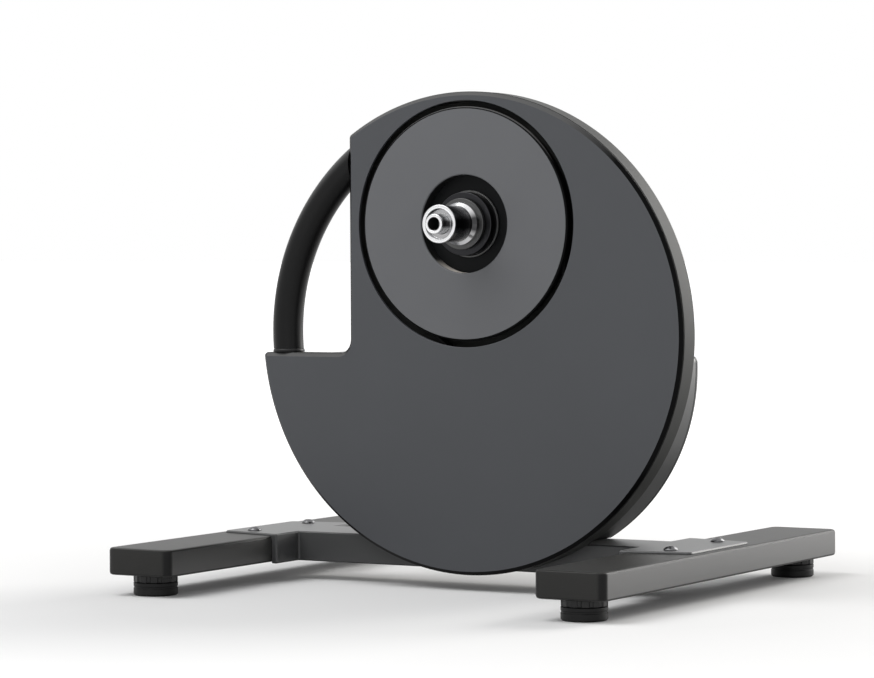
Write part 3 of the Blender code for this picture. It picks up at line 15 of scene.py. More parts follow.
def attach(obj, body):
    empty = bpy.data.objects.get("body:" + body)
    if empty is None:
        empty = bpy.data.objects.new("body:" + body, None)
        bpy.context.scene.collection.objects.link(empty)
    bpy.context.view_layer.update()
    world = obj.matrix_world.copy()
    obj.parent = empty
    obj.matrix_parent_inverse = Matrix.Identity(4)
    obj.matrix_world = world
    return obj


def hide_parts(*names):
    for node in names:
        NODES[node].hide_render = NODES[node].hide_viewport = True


bl_info = {
    "name": "Bicycle trainer looks",
    "version": (1, 0, 0),
    "blender": (4, 5, 0),
    "location": "View3D > Sidebar > Trainer",
    "description": "Builds the visible pieces of a direct-drive trainer round its packed solids",
    "category": "Object",
}

MM = 0.001
FULL_TURN = 2 * math.pi
PICTURE_WIDTH = 874
WELD = 0.02 * MM
FIT = 0.3 * MM
NEAR = 0.1 * MM
LEAST_ROUNDING = 0.8 * MM
FLAT_ANGLE = math.radians(0.5)
SHARP_ANGLE = math.radians(35.0)
FLOOR_REACH = 30.0
# Where the plate's screws stand, in degrees round the housing's centre.
SCREW_ANGLES = (-5.0, -22.0, 186.0, 208.0, 232.0)
# Heights of the pad's groove, from its upper edge to its lower one, as shares of the pad's height.
PAD_GROOVE = (0.72, 0.68, 0.58, 0.54)
# A tooth's two corners and a notch's two, as shares of the wheel's pitch.
TOOTH, NOTCH = (-0.30, 0.30), (0.36, 0.64)
# A dome bolt's flat round its socket, its shoulder and its rim, as shares of its socket, head and height.
BOLT_FLAT, BOLT_SHOULDER, BOLT_DROP, BOLT_RIM = 1.25, 0.72, 0.22, 0.3
DUST = (0.33, 0.32, 0.30, 1.0)
RUBBED_METAL = (0.9, 0.9, 0.9, 1.0)
# Soft panels: name, place, aim, width, height and colour.
PANELS = (
    ("back_panel", (1.25, 2.4, 1.35), (0.1, 0.0, 0.3), 1.6, 2.2, (1.0, 0.985, 0.96)),
    ("top_panel", (-0.9, -1.2, 2.3), (0.0, 0.0, 0.2), 2.0, 2.0, (1.0, 1.0, 1.0)),
    ("front_panel", (0.9, -2.7, 1.2), (0.0, 0.0, 0.2), 1.5, 1.5, (0.97, 0.985, 1.0)),
)

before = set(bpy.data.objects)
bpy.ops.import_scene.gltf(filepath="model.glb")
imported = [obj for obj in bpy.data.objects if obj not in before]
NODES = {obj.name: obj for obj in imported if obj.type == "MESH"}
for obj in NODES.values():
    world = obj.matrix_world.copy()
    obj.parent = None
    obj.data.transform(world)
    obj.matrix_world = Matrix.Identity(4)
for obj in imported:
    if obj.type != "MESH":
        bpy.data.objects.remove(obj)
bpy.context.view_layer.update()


def size(name, description, millimetres):
    """A size property whose default is given in millimetres."""
    return FloatProperty(
        name=name, description=description, default=millimetres * MM, unit="LENGTH", precision=4
    )


def tint(name, description, red, green, blue):
    """A colour property, in linear light."""
    default = (red, green, blue)
    return FloatVectorProperty(
        name=name, description=description, default=default, subtype="COLOR", min=0.0, max=1.0
    )


def power(name, description, watts):
    """A lamp's power property."""
    return FloatProperty(name=name, description=description, default=watts, unit="POWER")


def count(name, description, number):
    """A property for a whole number of steps or of like shapes."""
    return IntProperty(name=name, description=description, default=number, min=3)


class TrainerCasing(bpy.types.PropertyGroup):
    """The near casing: cover, rim band, groove and back wall."""

    axle_x: size("Axle X", "Place of the axle along the beam", 17.15)
    axle_z: size("Axle height", "Height of the axle above the floor", 345.0)
    centre_z: size("Centre height", "Height of the casing's centre", 242.0)
    radius: size("Radius", "Outer radius of the casing", 226.9)
    notch_x: size("Notch wall", "Place of the notch's upright wall", -110.5)
    ledge_z: size("Ledge", "Height of the notch's ledge", 222.0)
    fillet: size("Notch fillet", "Radius in the notch's inner corner", 13.0)
    tip: size("Tip rounding", "Rounding of the notch's two outer corners", 4.0)
    front_y: size("Front face", "Place of the cover's front face", -60.0)
    cover_back_y: size("Cover back", "Place of the cover's back edge", -56.2)
    cover_skin: size("Cover skin", "Thickness of the cover's face", 2.8)
    cover_lip: size("Cover lip", "Thickness of the cover's side", 4.0)
    cover_inset: size("Cover inset", "How far the cover stands in from the rim band", 0.5)
    cover_chamfer: size("Cover chamfer", "Width of the black chamfer round the cover", 3.2)
    cover_edge: size("Cover edge", "Rounding of the disc opening's edge", 0.5)
    groove_depth: size("Groove depth", "Depth of the groove behind the cover", 5.7)
    rim_front_y: size("Rim front", "Place of the rim band's front edge", -55.6)
    rim_back_y: size("Rim back", "Place of the casing's back face", -33.3)
    rim_edge: size("Rim edge", "Rounding of the rim band's back edge", 1.5)
    rim_front_edge: size("Rim front edge", "Rounding of the rim band's front edge", 0.225)
    spigot_y: size("Spigot front", "Front of the spigot that carries the cover", -56.9)
    wall: size("Rim wall", "Depth of the rim's solid wall", 9.0)
    floor_y: size("Back wall front", "Front face of the back wall", -38.0)
    boss_radius: size("Hub boss", "Radius of the boss round the hub", 32.0)
    boss_back_y: size("Hub boss back", "Back end of the hub boss", -18.0)
    bearing_radius: size("Hub bearing", "Radius of the bearings in the boss", 23.5)
    opening: size("Disc opening", "Radius of the opening round the disc", 115.6)
    steps: count("Steps", "Steps round the casing's arc", 180)
    boss_steps: count("Boss steps", "Steps round the hub boss", 64)


class TrainerHub(bpy.types.PropertyGroup):
    """The face disc, the hub and the axle's ends."""

    disc_radius: size("Disc radius", "Radius of the face disc", 109.9)
    disc_front_y: size("Disc front", "Place of the disc's face", -60.8)
    disc_back_y: size("Disc back", "Back of the disc", -57.6)
    disc_edge: size("Disc edge", "Rounding of the disc's outer edge", 2.0)
    recess: size("Recess", "Radius of the recess in the disc", 46.0)
    recess_edge: size("Recess edge", "Rounding of the recess's front edge", 1.4)
    recess_wall: size("Recess wall", "Thickness of the recess's wall", 2.5)
    recess_back_y: size("Recess back", "Back end of the recess's wall", -48.2)
    barrel: size("Barrel", "Radius of the hub's barrel", 29.8)
    barrel_front_y: size("Barrel front", "Front of the hub's barrel", -61.6)
    flange: size("Hub flange", "Radius of the hub's flange", 31.5)
    flange_front_y: size("Hub flange front", "Front of the hub's flange", -50.6)
    flange_back_y: size("Hub flange back", "Back of the hub's flange", -48.2)
    shaft: size("Hub shaft", "Radius of the hub's shaft", 17.2)
    shaft_back_y: size("Hub shaft back", "Back end of the hub's shaft", -15.0)
    bearing: size("Axle bearing", "Radius of the axle's near bearing seat", 14.3)
    far_bearing: size("Far axle bearing", "Radius of the axle's far bearing seat", 13.3)
    bearing_depth: size("Bearing depth", "Depth of the axle's bearing seats", 8.6)
    axle_room: size("Room round the axle", "Room between the hub and the axle", 1.5)
    seal_radius: size("Seal ring", "Radius of the ring behind the end cap", 24.0)
    seal_front_y: size("Seal ring front", "Front of the seal ring", -66.6)
    seal_back_y: size("Seal ring back", "Back of the seal ring", -62.2)
    axle: size("Axle", "Radius of the axle", 8.5)
    bore: size("Axle bore", "Radius of the axle's bore", 6.2)
    axle_front_y: size("Axle front", "Front end of the axle", -97.25)
    axle_back_y: size("Axle back", "Back end of the axle", 25.0)
    cap_radius: size("End cap", "Radius of the near end cap's rim", 17.8)
    cap_neck: size("End cap neck", "Radius of the near end cap behind its rim", 16.6)
    cap_lip: size("End cap lip", "Depth of the near end cap's rim", 2.2)
    cap_face_y: size("End cap face", "Face of the near end cap's rim", -107.0)
    cap_recess: size("End cap recess", "Radius of the recess in the end cap", 14.2)
    cap_recess_depth: size("Recess depth", "Depth of the recess in the end cap", 5.0)
    # Painted light and shade: past this depth the recess's faces take the hollow finish, painted lighter
    # where they look up and darker where they look down.
    cap_painted_shade_depth: size("Recess shine", "Depth to which the end cap's recess is polished", 0.8)
    cap_straight: size("End cap straight", "Length of the end cap ahead of its flare", 33.0)
    cap_foot: size("End cap foot", "Straight length behind the end cap's flare", 3.6)
    cap_flare: size("End cap flare", "Radius of the end cap's foot", 19.9)
    tip_radius: size("Tip radius", "Radius of the tip in the end cap", 9.3)
    tip_length: size("Tip length", "How far the tip stands out", 9.5)
    far_cap: size("Far end cap", "Radius of the far end cap", 12.5)
    far_cap_front_y: size("Far cap front", "Inner end of the far end cap", 22.0)
    far_cap_back_y: size("Far cap back", "Outer end of the far end cap", 28.0)
    steps: count("Steps", "Steps round a turned piece", 96)


class TrainerHandle(bpy.types.PropertyGroup):
    """The curved handle in the casing's notch."""

    arc: size("Arc radius", "Radius of the handle's centre line", 206.0)
    tube: size("Tube radius", "Radius of the handle's tube", 14.7)
    wall: size("Tube wall", "Thickness of the tube's wall", 2.5)
    y: size("Place", "Place of the handle between the casing's faces", -44.6)
    collar_radius: size("Collar radius", "Radius of the collar on the ledge", 15.3)
    collar_height: size("Collar height", "Height of the collar on the ledge", 3.3)
    plug: size("Plug radius", "Radius of the plug in the ledge", 7.0)
    plug_depth: size("Plug depth", "Length of the plug in the ledge", 24.0)
    plug_reach: size("Plug reach", "How far the plug reaches into the tube", 12.0)
    plug_slack: size("Plug slack", "Room between the plug and the tube's bore", 2.7)
    around: count("Steps round", "Steps round the tube", 48)
    along: count("Steps along", "Steps along the tube", 48)


class TrainerBase(bpy.types.PropertyGroup):
    """Beam, bars, bolts and feet."""

    edge: size("Edge rounding", "Rounding of the coated edges", 1.1)
    bar_spacing: size("Bar spacing", "Distance between the bars' centre lines", 452.5)
    bolt_spacing: size("Bolt spacing", "Distance between a head's two bolts", 98.0)
    bolt_seat: size("Bolt seat", "Height of the bolts' seat", 47.4)
    bolt_head: size("Bolt head", "Radius of the bolts' dome head", 6.6)
    bolt_height: size("Bolt head height", "Height of the bolts' dome head", 3.2)
    bolt_socket: size("Bolt socket", "Radius across the corners of the hexagon socket", 2.7)
    bolt_socket_depth: size("Socket depth", "Depth of the hexagon socket", 1.8)
    bolt_shank: size("Bolt shank", "Radius of the bolts' shank", 4.0)
    bolt_length: size("Bolt length", "Length of the bolts' shank", 21.0)
    bolt_steps: count("Bolt steps", "Steps round a bolt", 36)
    foot_spacing: size("Foot spacing", "Distance between a bar's two feet", 435.0)
    foot_radius: size("Foot radius", "Radius of the feet", 20.75)
    pad_height: size("Pad height", "Height of the rubber pad", 12.4)
    pad_chamfer: size("Pad chamfer", "Chamfer round the foot of the rubber pad", 1.4)
    groove_depth: size("Pad groove", "Depth of the groove round the rubber pad", 0.5)
    wheel_height: size("Wheel height", "Height of the levelling wheel", 6.2)
    notch_depth: size("Notch depth", "Depth of the wheel's notches", 1.3)
    notches: count("Notches", "Number of notches round a wheel", 12)
    wheel_edge: size("Wheel edge", "Rounding of the levelling wheel's edges", 0.5)
    stud_root: size("Stud root", "How far the stud's foot is sunk in the wheel", 0.4)
    stud_radius: size("Stud radius", "Radius of the threaded stud", 5.0)
    stud_length: size("Stud length", "Length of the stud above the wheel", 18.0)
    pivot_radius: size("Pivot radius", "Radius of the pivot in the pad", 6.2)
    pivot_length: size("Pivot length", "Length of the pivot in the pad", 6.0)
    pad_steps: count("Pad steps", "Steps round a rubber pad", 64)
    stud_steps: count("Stud steps", "Steps round a stud and a pivot", 32)


class TrainerDrum(bpy.types.PropertyGroup):
    """The rear housing over the flywheel and what stands on it."""

    centre_x: size("Centre X", "Place of the housing's centre along the beam", 24.05)
    centre_z: size("Centre height", "Height of the housing's centre", 209.9)
    radius: size("Radius", "Outer radius of the housing", 189.5)
    scoop: size("Scoop", "Radius of the scoop round the axle", 155.0)
    top_z: size("Top", "Height of the housing's flat top", 221.0)
    bottom_z: size("Bottom", "Height of the housing's flat foot", 47.7)
    wall: size("Wall", "Thickness of the housing's wall", 4.0)
    corner: size("Corner", "Rounding of the housing's upper corners", 5.0)
    edge: size("Edge", "Rounding of the housing's edges", 1.0)
    front_y: size("Front", "Front end of the housing", -33.0)
    back_y: size("Back", "Back end of the housing", 30.7)
    plate_front_y: size("Plate front", "Front of the back plate", 31.0)
    plate_back_y: size("Plate back", "Back of the back plate", 35.0)
    shaft_x: size("Shaft X", "Place of the flywheel's shaft along the beam", 92.15)
    shaft_z: size("Shaft height", "Height of the flywheel's shaft", 125.0)
    boss: size("Bearing boss", "Radius of the boss inside the back plate", 19.8)
    boss_front_y: size("Boss front", "Front end of the boss inside the back plate", 17.8)
    seat: size("Bearing seat", "Radius of the shaft bearing's seat", 16.0)
    socket_x: size("Socket X", "Place of the power socket along the beam", -70.0)
    socket_z: size("Socket height", "Height of the power socket", 96.0)
    socket: size("Socket hole", "Radius of the power socket's hole", 6.3)
    screw_radius: size("Screw radius", "Radius of the small screws' heads", 3.2)
    screw_height: size("Screw height", "Height of the small screws' heads", 1.7)
    screw_recess: size("Screw recess", "Radius of the recess in the small screws' heads", 1.5)
    screw_floor: size("Screw floor", "Height of the recess's floor above the plate", 0.4)
    screw_inset: size("Screw inset", "Distance of the small screws from the plate's edge", 7.0)
    steps: count("Steps", "Steps round each of the housing's arcs", 32)
    boss_steps: count("Boss steps", "Steps round the bearing's boss", 48)
    small_steps: count("Small steps", "Steps round the socket's hole and a screw", 32)


class TrainerColours(bpy.types.PropertyGroup):
    """Colours of the finishes, in linear light."""

    cover: tint("Cover", "Satin dark grey of the cover", 0.045, 0.048, 0.054)
    # Painted shade: this black stands in for the shade on the cover's chamfer, the disc's rounded rim and
    # the bars' upright corners. The light line after it is a painted highlight on the chamfer's upper part.
    edge_shade: tint("Trim", "Black of the cover's chamfer", 0.003, 0.003, 0.0032)
    painted_chamfer_light: tint("Trim light", "Light line along the chamfer's upper part", 0.11, 0.11, 0.11)
    rim: tint("Rim", "Satin coat of the rim band", 0.027, 0.0275, 0.026)
    disc: tint("Disc", "Lighter grey of the turning disc", 0.102, 0.105, 0.112)
    base: tint("Base", "Powder coat of the bars", 0.022, 0.0218, 0.0207)
    beam: tint("Beam", "Powder coat of the beam and the housing", 0.048, 0.049, 0.050)
    handle: tint("Handle", "Black of the handle", 0.0040, 0.0040, 0.0042)
    handle_light: tint("Handle light", "Soft light along the handle's upper part", 0.090, 0.090, 0.090)
    pulley: tint("Pulley", "Black of the pulley seen in the disc's recess", 0.005, 0.0055, 0.006)
    rubber: tint("Rubber", "Rubber of the feet", 0.006, 0.006, 0.0062)
    plastic: tint("Black plastic", "Small mouldings", 0.013, 0.013, 0.014)
    barrel: tint("Barrel", "Dark steel of the hub's barrel", 0.028, 0.028, 0.030)
    # On the hub's flange this grey is a painted highlight: it stands in for the thin light line round the
    # flange, on the same shell as the darker barrel.
    seal: tint("Seal ring", "Dark grey of the seal ring and the hub's flange", 0.080, 0.080, 0.080)
    # Painted light and shade on the polished ends: the polished colour shows as painted highlights on faces
    # that look up, down or ahead, and the shadowed colour is a painted reflection of the dark disc on the
    # faces between. In the end cap's recess the shadowed colour is painted shade on faces that look down.
    polished: tint("Polished", "Polished axle ends", 0.74, 0.74, 0.75)
    shadowed: tint("Shadowed polish", "Polished metal where it mirrors the dark disc", 0.055, 0.055, 0.057)
    recess_light: tint("Recess light", "Soft light low in the disc's recess", 0.75, 0.70, 0.64)
    steel: tint("Steel", "Ground steel", 0.46, 0.46, 0.47)
    bolt: tint("Bolts", "Darker steel of the dome bolts", 0.16, 0.16, 0.165)
    aluminium: tint("Aluminium", "Machined aluminium", 0.58, 0.58, 0.59)
    # Painted shade: this black stands in for the shade deep in the disc's recess and in the end cap's bore,
    # the two places that use it.
    inside: tint("Inside", "Black lacquer inside the casing", 0.010, 0.010, 0.010)
    belt: tint("Belt", "Rubber of the drive belt", 0.004, 0.004, 0.004)
    winding: tint("Winding", "Lacquered copper wire", 0.36, 0.13, 0.05)
    board: tint("Board", "Green of the circuit board", 0.010, 0.060, 0.028)
    lens: tint("Lens", "Smoked lens", 0.05, 0.06, 0.07)
    floor: tint("Floor", "Pale studio floor", 0.80, 0.80, 0.80)


class TrainerStudio(bpy.types.PropertyGroup):
    """Camera and light."""

    camera_place: FloatVectorProperty(
        name="Camera place", description="Where the camera stands", subtype="TRANSLATION",
        default=(1.62498, -2.86553, 0.33764), precision=5,
    )
    camera_turn: FloatVectorProperty(
        name="Camera turn", description="Pitch, roll and turn to the left", subtype="EULER",
        default=(math.radians(-1.77566), math.radians(-0.25440), math.radians(30.27386)), precision=5,
    )
    focal_pixels: FloatProperty(
        name="Focal length", description="Focal length in pixels of the picture", default=3454.626
    )
    sky: FloatProperty(name="Room light", description="Strength of the room's even light", default=0.32)
    back_panel: power("Back panel", "Power of the panel behind, to the right", 78.0)
    top_panel: power("Top panel", "Power of the panel overhead", 50.0)
    front_panel: power("Front panel", "Power of the panel at the front right", 6.0)


def settings():
    """The trainer's sizes and colours."""
    return bpy.context.scene.trainer


def axle_centre():
    """The point of the axle's line in the middle of the base."""
    casing = settings().casing
    return Vector((casing.axle_x, 0.0, casing.axle_z))


def about_axle(face):
    """A face's distance from the axle's line, and its place along the line."""
    place = face.calc_center_median() - axle_centre()
    return math.hypot(place.x, place.z), place.y


def add_node(tree, kind, sockets=(), **facts):
    """A shader node with its facts set and its named sockets given values or links."""
    node = tree.nodes.new(kind)
    for name, value in facts.items():
        setattr(node, name, value)
    for name, value in dict(sockets).items():
        socket = node.inputs[name]
        if isinstance(value, bpy.types.NodeSocket):
            tree.links.new(value, socket)
        else:
            socket.default_value = value
    return node


def maths(tree, operation, first, second=0.0):
    """The outcome of a sum of one or two values."""
    return add_node(tree, "ShaderNodeMath", {0: first, 1: second}, operation=operation).outputs[0]


def ramp(tree, value, low, high, start=0.0, end=1.0):
    """A value that runs from start to end while another runs from low to high."""
    limits = {"Value": value, "From Min": low, "From Max": high, "To Min": start, "To Max": end}
    return add_node(tree, "ShaderNodeMapRange", limits).outputs[0]


def between(tree, value, start, end):
    """A value from 0 to 1 mapped to a range from start to end."""
    return ramp(tree, value, 0.0, 1.0, start, end)


def blend_colours(tree, share, first, second):
    """A colour between two, by a share of the second."""
    return add_node(tree, "ShaderNodeMix", {0: share, 6: first, 7: second}, data_type="RGBA").outputs[2]


def object_place(tree):
    """The place of a point on its piece."""
    return add_node(tree, "ShaderNodeTexCoord").outputs["Object"]


def facing_of(tree):
    """The way that a surface faces."""
    return add_node(tree, "ShaderNodeNewGeometry").outputs["Normal"]


def noise(tree, scale, detail, roughness=0.5):
    """A value that wanders from 0 to 1 over a piece."""
    sockets = {"Vector": object_place(tree), "Scale": scale, "Detail": detail, "Roughness": roughness}
    return add_node(tree, "ShaderNodeTexNoise", sockets).outputs[0]


def coat_grain(tree, given):
    """Fine grain of a coat, and the slow mottle that lies over it."""
    return [noise(tree, given["Grain scale"], 2.0, 0.6), noise(tree, given["Mottle scale"], 4.0, 0.55)]


def edge_wear(tree, given):
    """A mask that shows where an edge is rubbed."""
    rounded = add_node(tree, "ShaderNodeBevel", {"Radius": given["Reach"]}, samples=4).outputs[0]
    sides = {0: rounded, 1: facing_of(tree)}
    likeness = add_node(tree, "ShaderNodeVectorMath", sides, operation="DOT_PRODUCT")
    edge = ramp(tree, maths(tree, "SUBTRACT", 1.0, likeness.outputs["Value"]), 0.01, 0.12)
    patchy = ramp(tree, noise(tree, given["Patchiness"], 3.0), 0.35, 0.65, 0.35)
    return [maths(tree, "MULTIPLY", edge, patchy)]


def settled_dust(tree, given):
    """A mask for the fine dust that settles on upward faces."""
    upward = add_node(tree, "ShaderNodeSeparateXYZ", {0: facing_of(tree)}).outputs["Z"]
    patchy = ramp(tree, noise(tree, 140.0, 6.0), 0.45, 0.75)
    mask = maths(tree, "MULTIPLY", ramp(tree, upward, 0.3, 1.0), patchy)
    return [maths(tree, "MULTIPLY", mask, given["Amount"])]


def lathe_rings(tree, given):
    """Fine rings that a lathe leaves round the axle."""
    centring = {"Vector": object_place(tree), "Location": -axle_centre()}
    centred = add_node(tree, "ShaderNodeMapping", centring).outputs[0]
    parts = add_node(tree, "ShaderNodeSeparateXYZ", {0: centred}).outputs
    squares = [maths(tree, "POWER", parts[axis], 2.0) for axis in "XZ"]
    radius = maths(tree, "SQRT", maths(tree, "ADD", *squares))
    along = maths(tree, "ADD", radius, parts["Y"])
    turns = {"W": maths(tree, "MULTIPLY", along, given["Rings per metre"]), "Scale": 1.0, "Detail": 2.0}
    return [add_node(tree, "ShaderNodeTexNoise", turns, noise_dimensions="1D").outputs[0]]


def facing_masks(tree, given):
    """Masks for faces that look up, right, up or down, and ahead, and for flat or level faces."""
    low, high = given["Low"], given["High"]
    parts = add_node(tree, "ShaderNodeSeparateXYZ", {0: facing_of(tree)}).outputs
    across, along, upright = [maths(tree, "ABSOLUTE", parts[axis]) for axis in "XYZ"]
    flat = ramp(tree, maths(tree, "MAXIMUM", across, along), 0.90, 0.995)
    return [
        ramp(tree, parts["Z"], low, high),
        ramp(tree, parts["X"], low, high),
        ramp(tree, upright, low, high),
        ramp(tree, maths(tree, "MULTIPLY", parts["Y"], -1.0), 0.85, 0.97),
        maths(tree, "MAXIMUM", flat, ramp(tree, upright, 0.15, 0.5)),
    ]


# Node groups by name: what fills them, their inputs with defaults, and their outputs.
GROUPS = {
    "Coat grain": (coat_grain, {"Grain scale": 900.0, "Mottle scale": 9.0}, ["Grain", "Mottle"]),
    "Edge wear": (edge_wear, {"Reach": 0.8 * MM, "Patchiness": 60.0}, ["Mask"]),
    "Settled dust": (settled_dust, {"Amount": 0.2}, ["Mask"]),
    "Lathe rings": (lathe_rings, {"Rings per metre": 3000.0}, ["Rings"]),
    "Facing": (
        facing_masks, {"Low": 0.5, "High": 0.62}, ["Up", "Right", "Up or down", "Ahead", "Flat or upper"],
    ),
}


def group_tree(name):
    """A node group by name, built the first time that it is asked for. Its sockets are all values."""
    if name in bpy.data.node_groups:
        return bpy.data.node_groups[name]
    fill, inputs, outputs = GROUPS[name]
    group = bpy.data.node_groups.new(name, "ShaderNodeTree")
    for label, default in inputs.items():
        socket = group.interface.new_socket(name=label, in_out="INPUT", socket_type="NodeSocketFloat")
        socket.default_value = default
    for label in outputs:
        group.interface.new_socket(name=label, in_out="OUTPUT", socket_type="NodeSocketFloat")
    given = group.nodes.new("NodeGroupInput").outputs
    result = group.nodes.new("NodeGroupOutput").inputs
    for value, socket in zip(fill(group, given), result):
        group.links.new(value, socket)
    return group


def place_group(tree, group, **values):
    """The outputs of a group in a material, with its inputs given by name."""
    node = tree.nodes.new("ShaderNodeGroup")
    node.node_tree = group_tree(group)
    for name, value in values.items():
        node.inputs[name.replace("_", " ")].default_value = value
    return node.outputs


def new_material(name, **constants):
    """A material with a Principled shader whose even values are set on its own sockets."""
    material = bpy.data.materials.new(name)
    material.use_nodes = True
    tree = material.node_tree
    shader = tree.nodes["Principled BSDF"]
    for label, value in constants.items():
        shader.inputs[label.replace("_", " ")].default_value = value
    return material, tree, shader


def shade(colour, factor=1.0):
    """A colour made lighter or darker by a factor, with its alpha."""
    return tuple(min(1.0, channel * factor) for channel in colour) + (1.0,)


def surface(tree, shader, base, roughness, bump, depth, height):
    """Gives a shader its colour and roughness, and a relief of a strength and a depth."""
    tree.links.new(base, shader.inputs["Base Color"])
    tree.links.new(roughness, shader.inputs["Roughness"])
    relief = add_node(tree, "ShaderNodeBump", {"Strength": bump, "Distance": depth, "Height": height})
    tree.links.new(relief.outputs[0], shader.inputs["Normal"])


def coated(
    name, colour, rough, spread=0.05, grain=900.0, bump=0.06, wear=0.0, dust=0.0, painted_light=None, painted_sheen=None,
    corners=None, **constants,
):
    """A sprayed coat: grain, mottle, rubbed edges, a trace of dust, painted light on faces that look up, and
    a painted sheen.

    The painted light is given as (colour, low, high), with limits for the upward part of the normal; its
    lighter colour stands in for light from above.
    The painted sheen is given as (mask, low, high, weight), by the mask's name in the facing group; it lays
    coat only on faces that look one way.
    A colour for the corners is painted shade on the rounded upright edges.
    """
    material, tree, shader = new_material(name, **constants)
    grainy, mottle = place_group(tree, "Coat grain", Grain_scale=grain)
    base = blend_colours(tree, mottle, shade(colour, 0.90), shade(colour, 1.10))
    if wear:
        share = maths(tree, "MULTIPLY", place_group(tree, "Edge wear")[0], wear)
        base = blend_colours(tree, share, base, shade(colour, 2.6))
    if dust:
        settled = place_group(tree, "Settled dust", Amount=dust)[0]
        base = blend_colours(tree, settled, base, DUST)
    # Painted light: faces that look up are blended towards a lighter colour.
    if painted_light:
        light, low, high = painted_light
        upward = place_group(tree, "Facing", Low=low, High=high)["Up"]
        base = blend_colours(tree, upward, base, shade(light))
    # Painted shade: the rounded upright corners take a darker colour.
    if corners:
        flat = place_group(tree, "Facing")["Flat or upper"]
        base = blend_colours(tree, flat, shade(corners), base)
    # Painted sheen: the coat is laid only on faces that look one way, so that they catch the lamps.
    if painted_sheen:
        mask, low, high, weight = painted_sheen
        facing = place_group(tree, "Facing", Low=low, High=high)[mask]
        tree.links.new(maths(tree, "MULTIPLY", facing, weight), shader.inputs["Coat Weight"])
    mixed = maths(tree, "ADD", maths(tree, "MULTIPLY", grainy, 0.5), maths(tree, "MULTIPLY", mottle, 0.5))
    roughness = between(tree, mixed, rough - spread, rough + spread)
    surface(tree, shader, base, roughness, bump, 0.1 * MM, grainy)
    return material


def machined(name, colour, rough, spread=0.06, rings=3000.0, bump=0.05, wear=0.0, shadowed=None):
    """Turned metal with lathe rings and a slow change of polish.

    A shadowed colour is given as (colour, mask, low, high) and shows where the facing mask is dark: painted
    shade and painted dark reflection, which leave the metal's own colour as painted highlights on the faces
    that the mask picks.
    """
    material, tree, shader = new_material(name, Metallic=1.0)
    lathe = place_group(tree, "Lathe rings", Rings_per_metre=rings)[0]
    mottle = place_group(tree, "Coat grain", Mottle_scale=45.0)["Mottle"]
    base = blend_colours(tree, lathe, shade(colour, 0.92), shade(colour, 1.06))
    if wear:
        share = maths(tree, "MULTIPLY", place_group(tree, "Edge wear", Reach=0.4 * MM)[0], wear)
        base = blend_colours(tree, share, base, RUBBED_METAL)
    if shadowed:
        dark, mask, low, high = shadowed
        facing = place_group(tree, "Facing", Low=low, High=high)
        bright = facing[mask]
        if mask == "Up or down":
            bright = maths(tree, "MAXIMUM", bright, facing["Ahead"])
        base = blend_colours(tree, bright, shade(dark), base)
    roughness = between(tree, mottle, rough - spread, rough + spread)
    surface(tree, shader, base, roughness, bump, 0.05 * MM, lathe)
    return material


def ground(name, colour, rough, scale=400.0):
    """Ground or cast metal with a fine even grain."""
    material, tree, shader = new_material(name, Metallic=1.0)
    grainy, mottle = place_group(tree, "Coat grain", Grain_scale=scale, Mottle_scale=30.0)
    base = blend_colours(tree, mottle, shade(colour, 0.85), shade(colour, 1.08))
    surface(tree, shader, base, between(tree, mottle, rough - 0.06, rough + 0.08), 0.08, 0.05 * MM, grainy)
    return material


def wound(name, colour):
    """Lacquered copper wire laid side by side."""
    material, tree, shader = new_material(name, Metallic=0.85, Coat_Weight=0.6)
    bands = {"Vector": object_place(tree), "Scale": 280.0, "Distortion": 0.6}
    wires = add_node(tree, "ShaderNodeTexWave", bands, bands_direction="Y").outputs[1]
    base = blend_colours(tree, wires, shade(colour, 0.35), shade(colour, 1.1))
    surface(tree, shader, base, between(tree, wires, 0.5, 0.28), 0.5, 0.3 * MM, wires)
    return material


def circuit(name, colour):
    """Solder mask over fine traces."""
    material, tree, shader = new_material(name, Coat_Weight=0.4)
    pattern = {"Vector": object_place(tree), "Scale": 160.0}
    cells = add_node(tree, "ShaderNodeTexVoronoi", pattern, distance="CHEBYCHEV").outputs["Distance"]
    traces = maths(tree, "GREATER_THAN", cells, 0.45)
    base = blend_colours(tree, traces, shade(colour), shade(colour, 2.2))
    tree.links.new(base, shader.inputs["Base Color"])
    tree.links.new(between(tree, cells, 0.32, 0.45), shader.inputs["Roughness"])
    return material


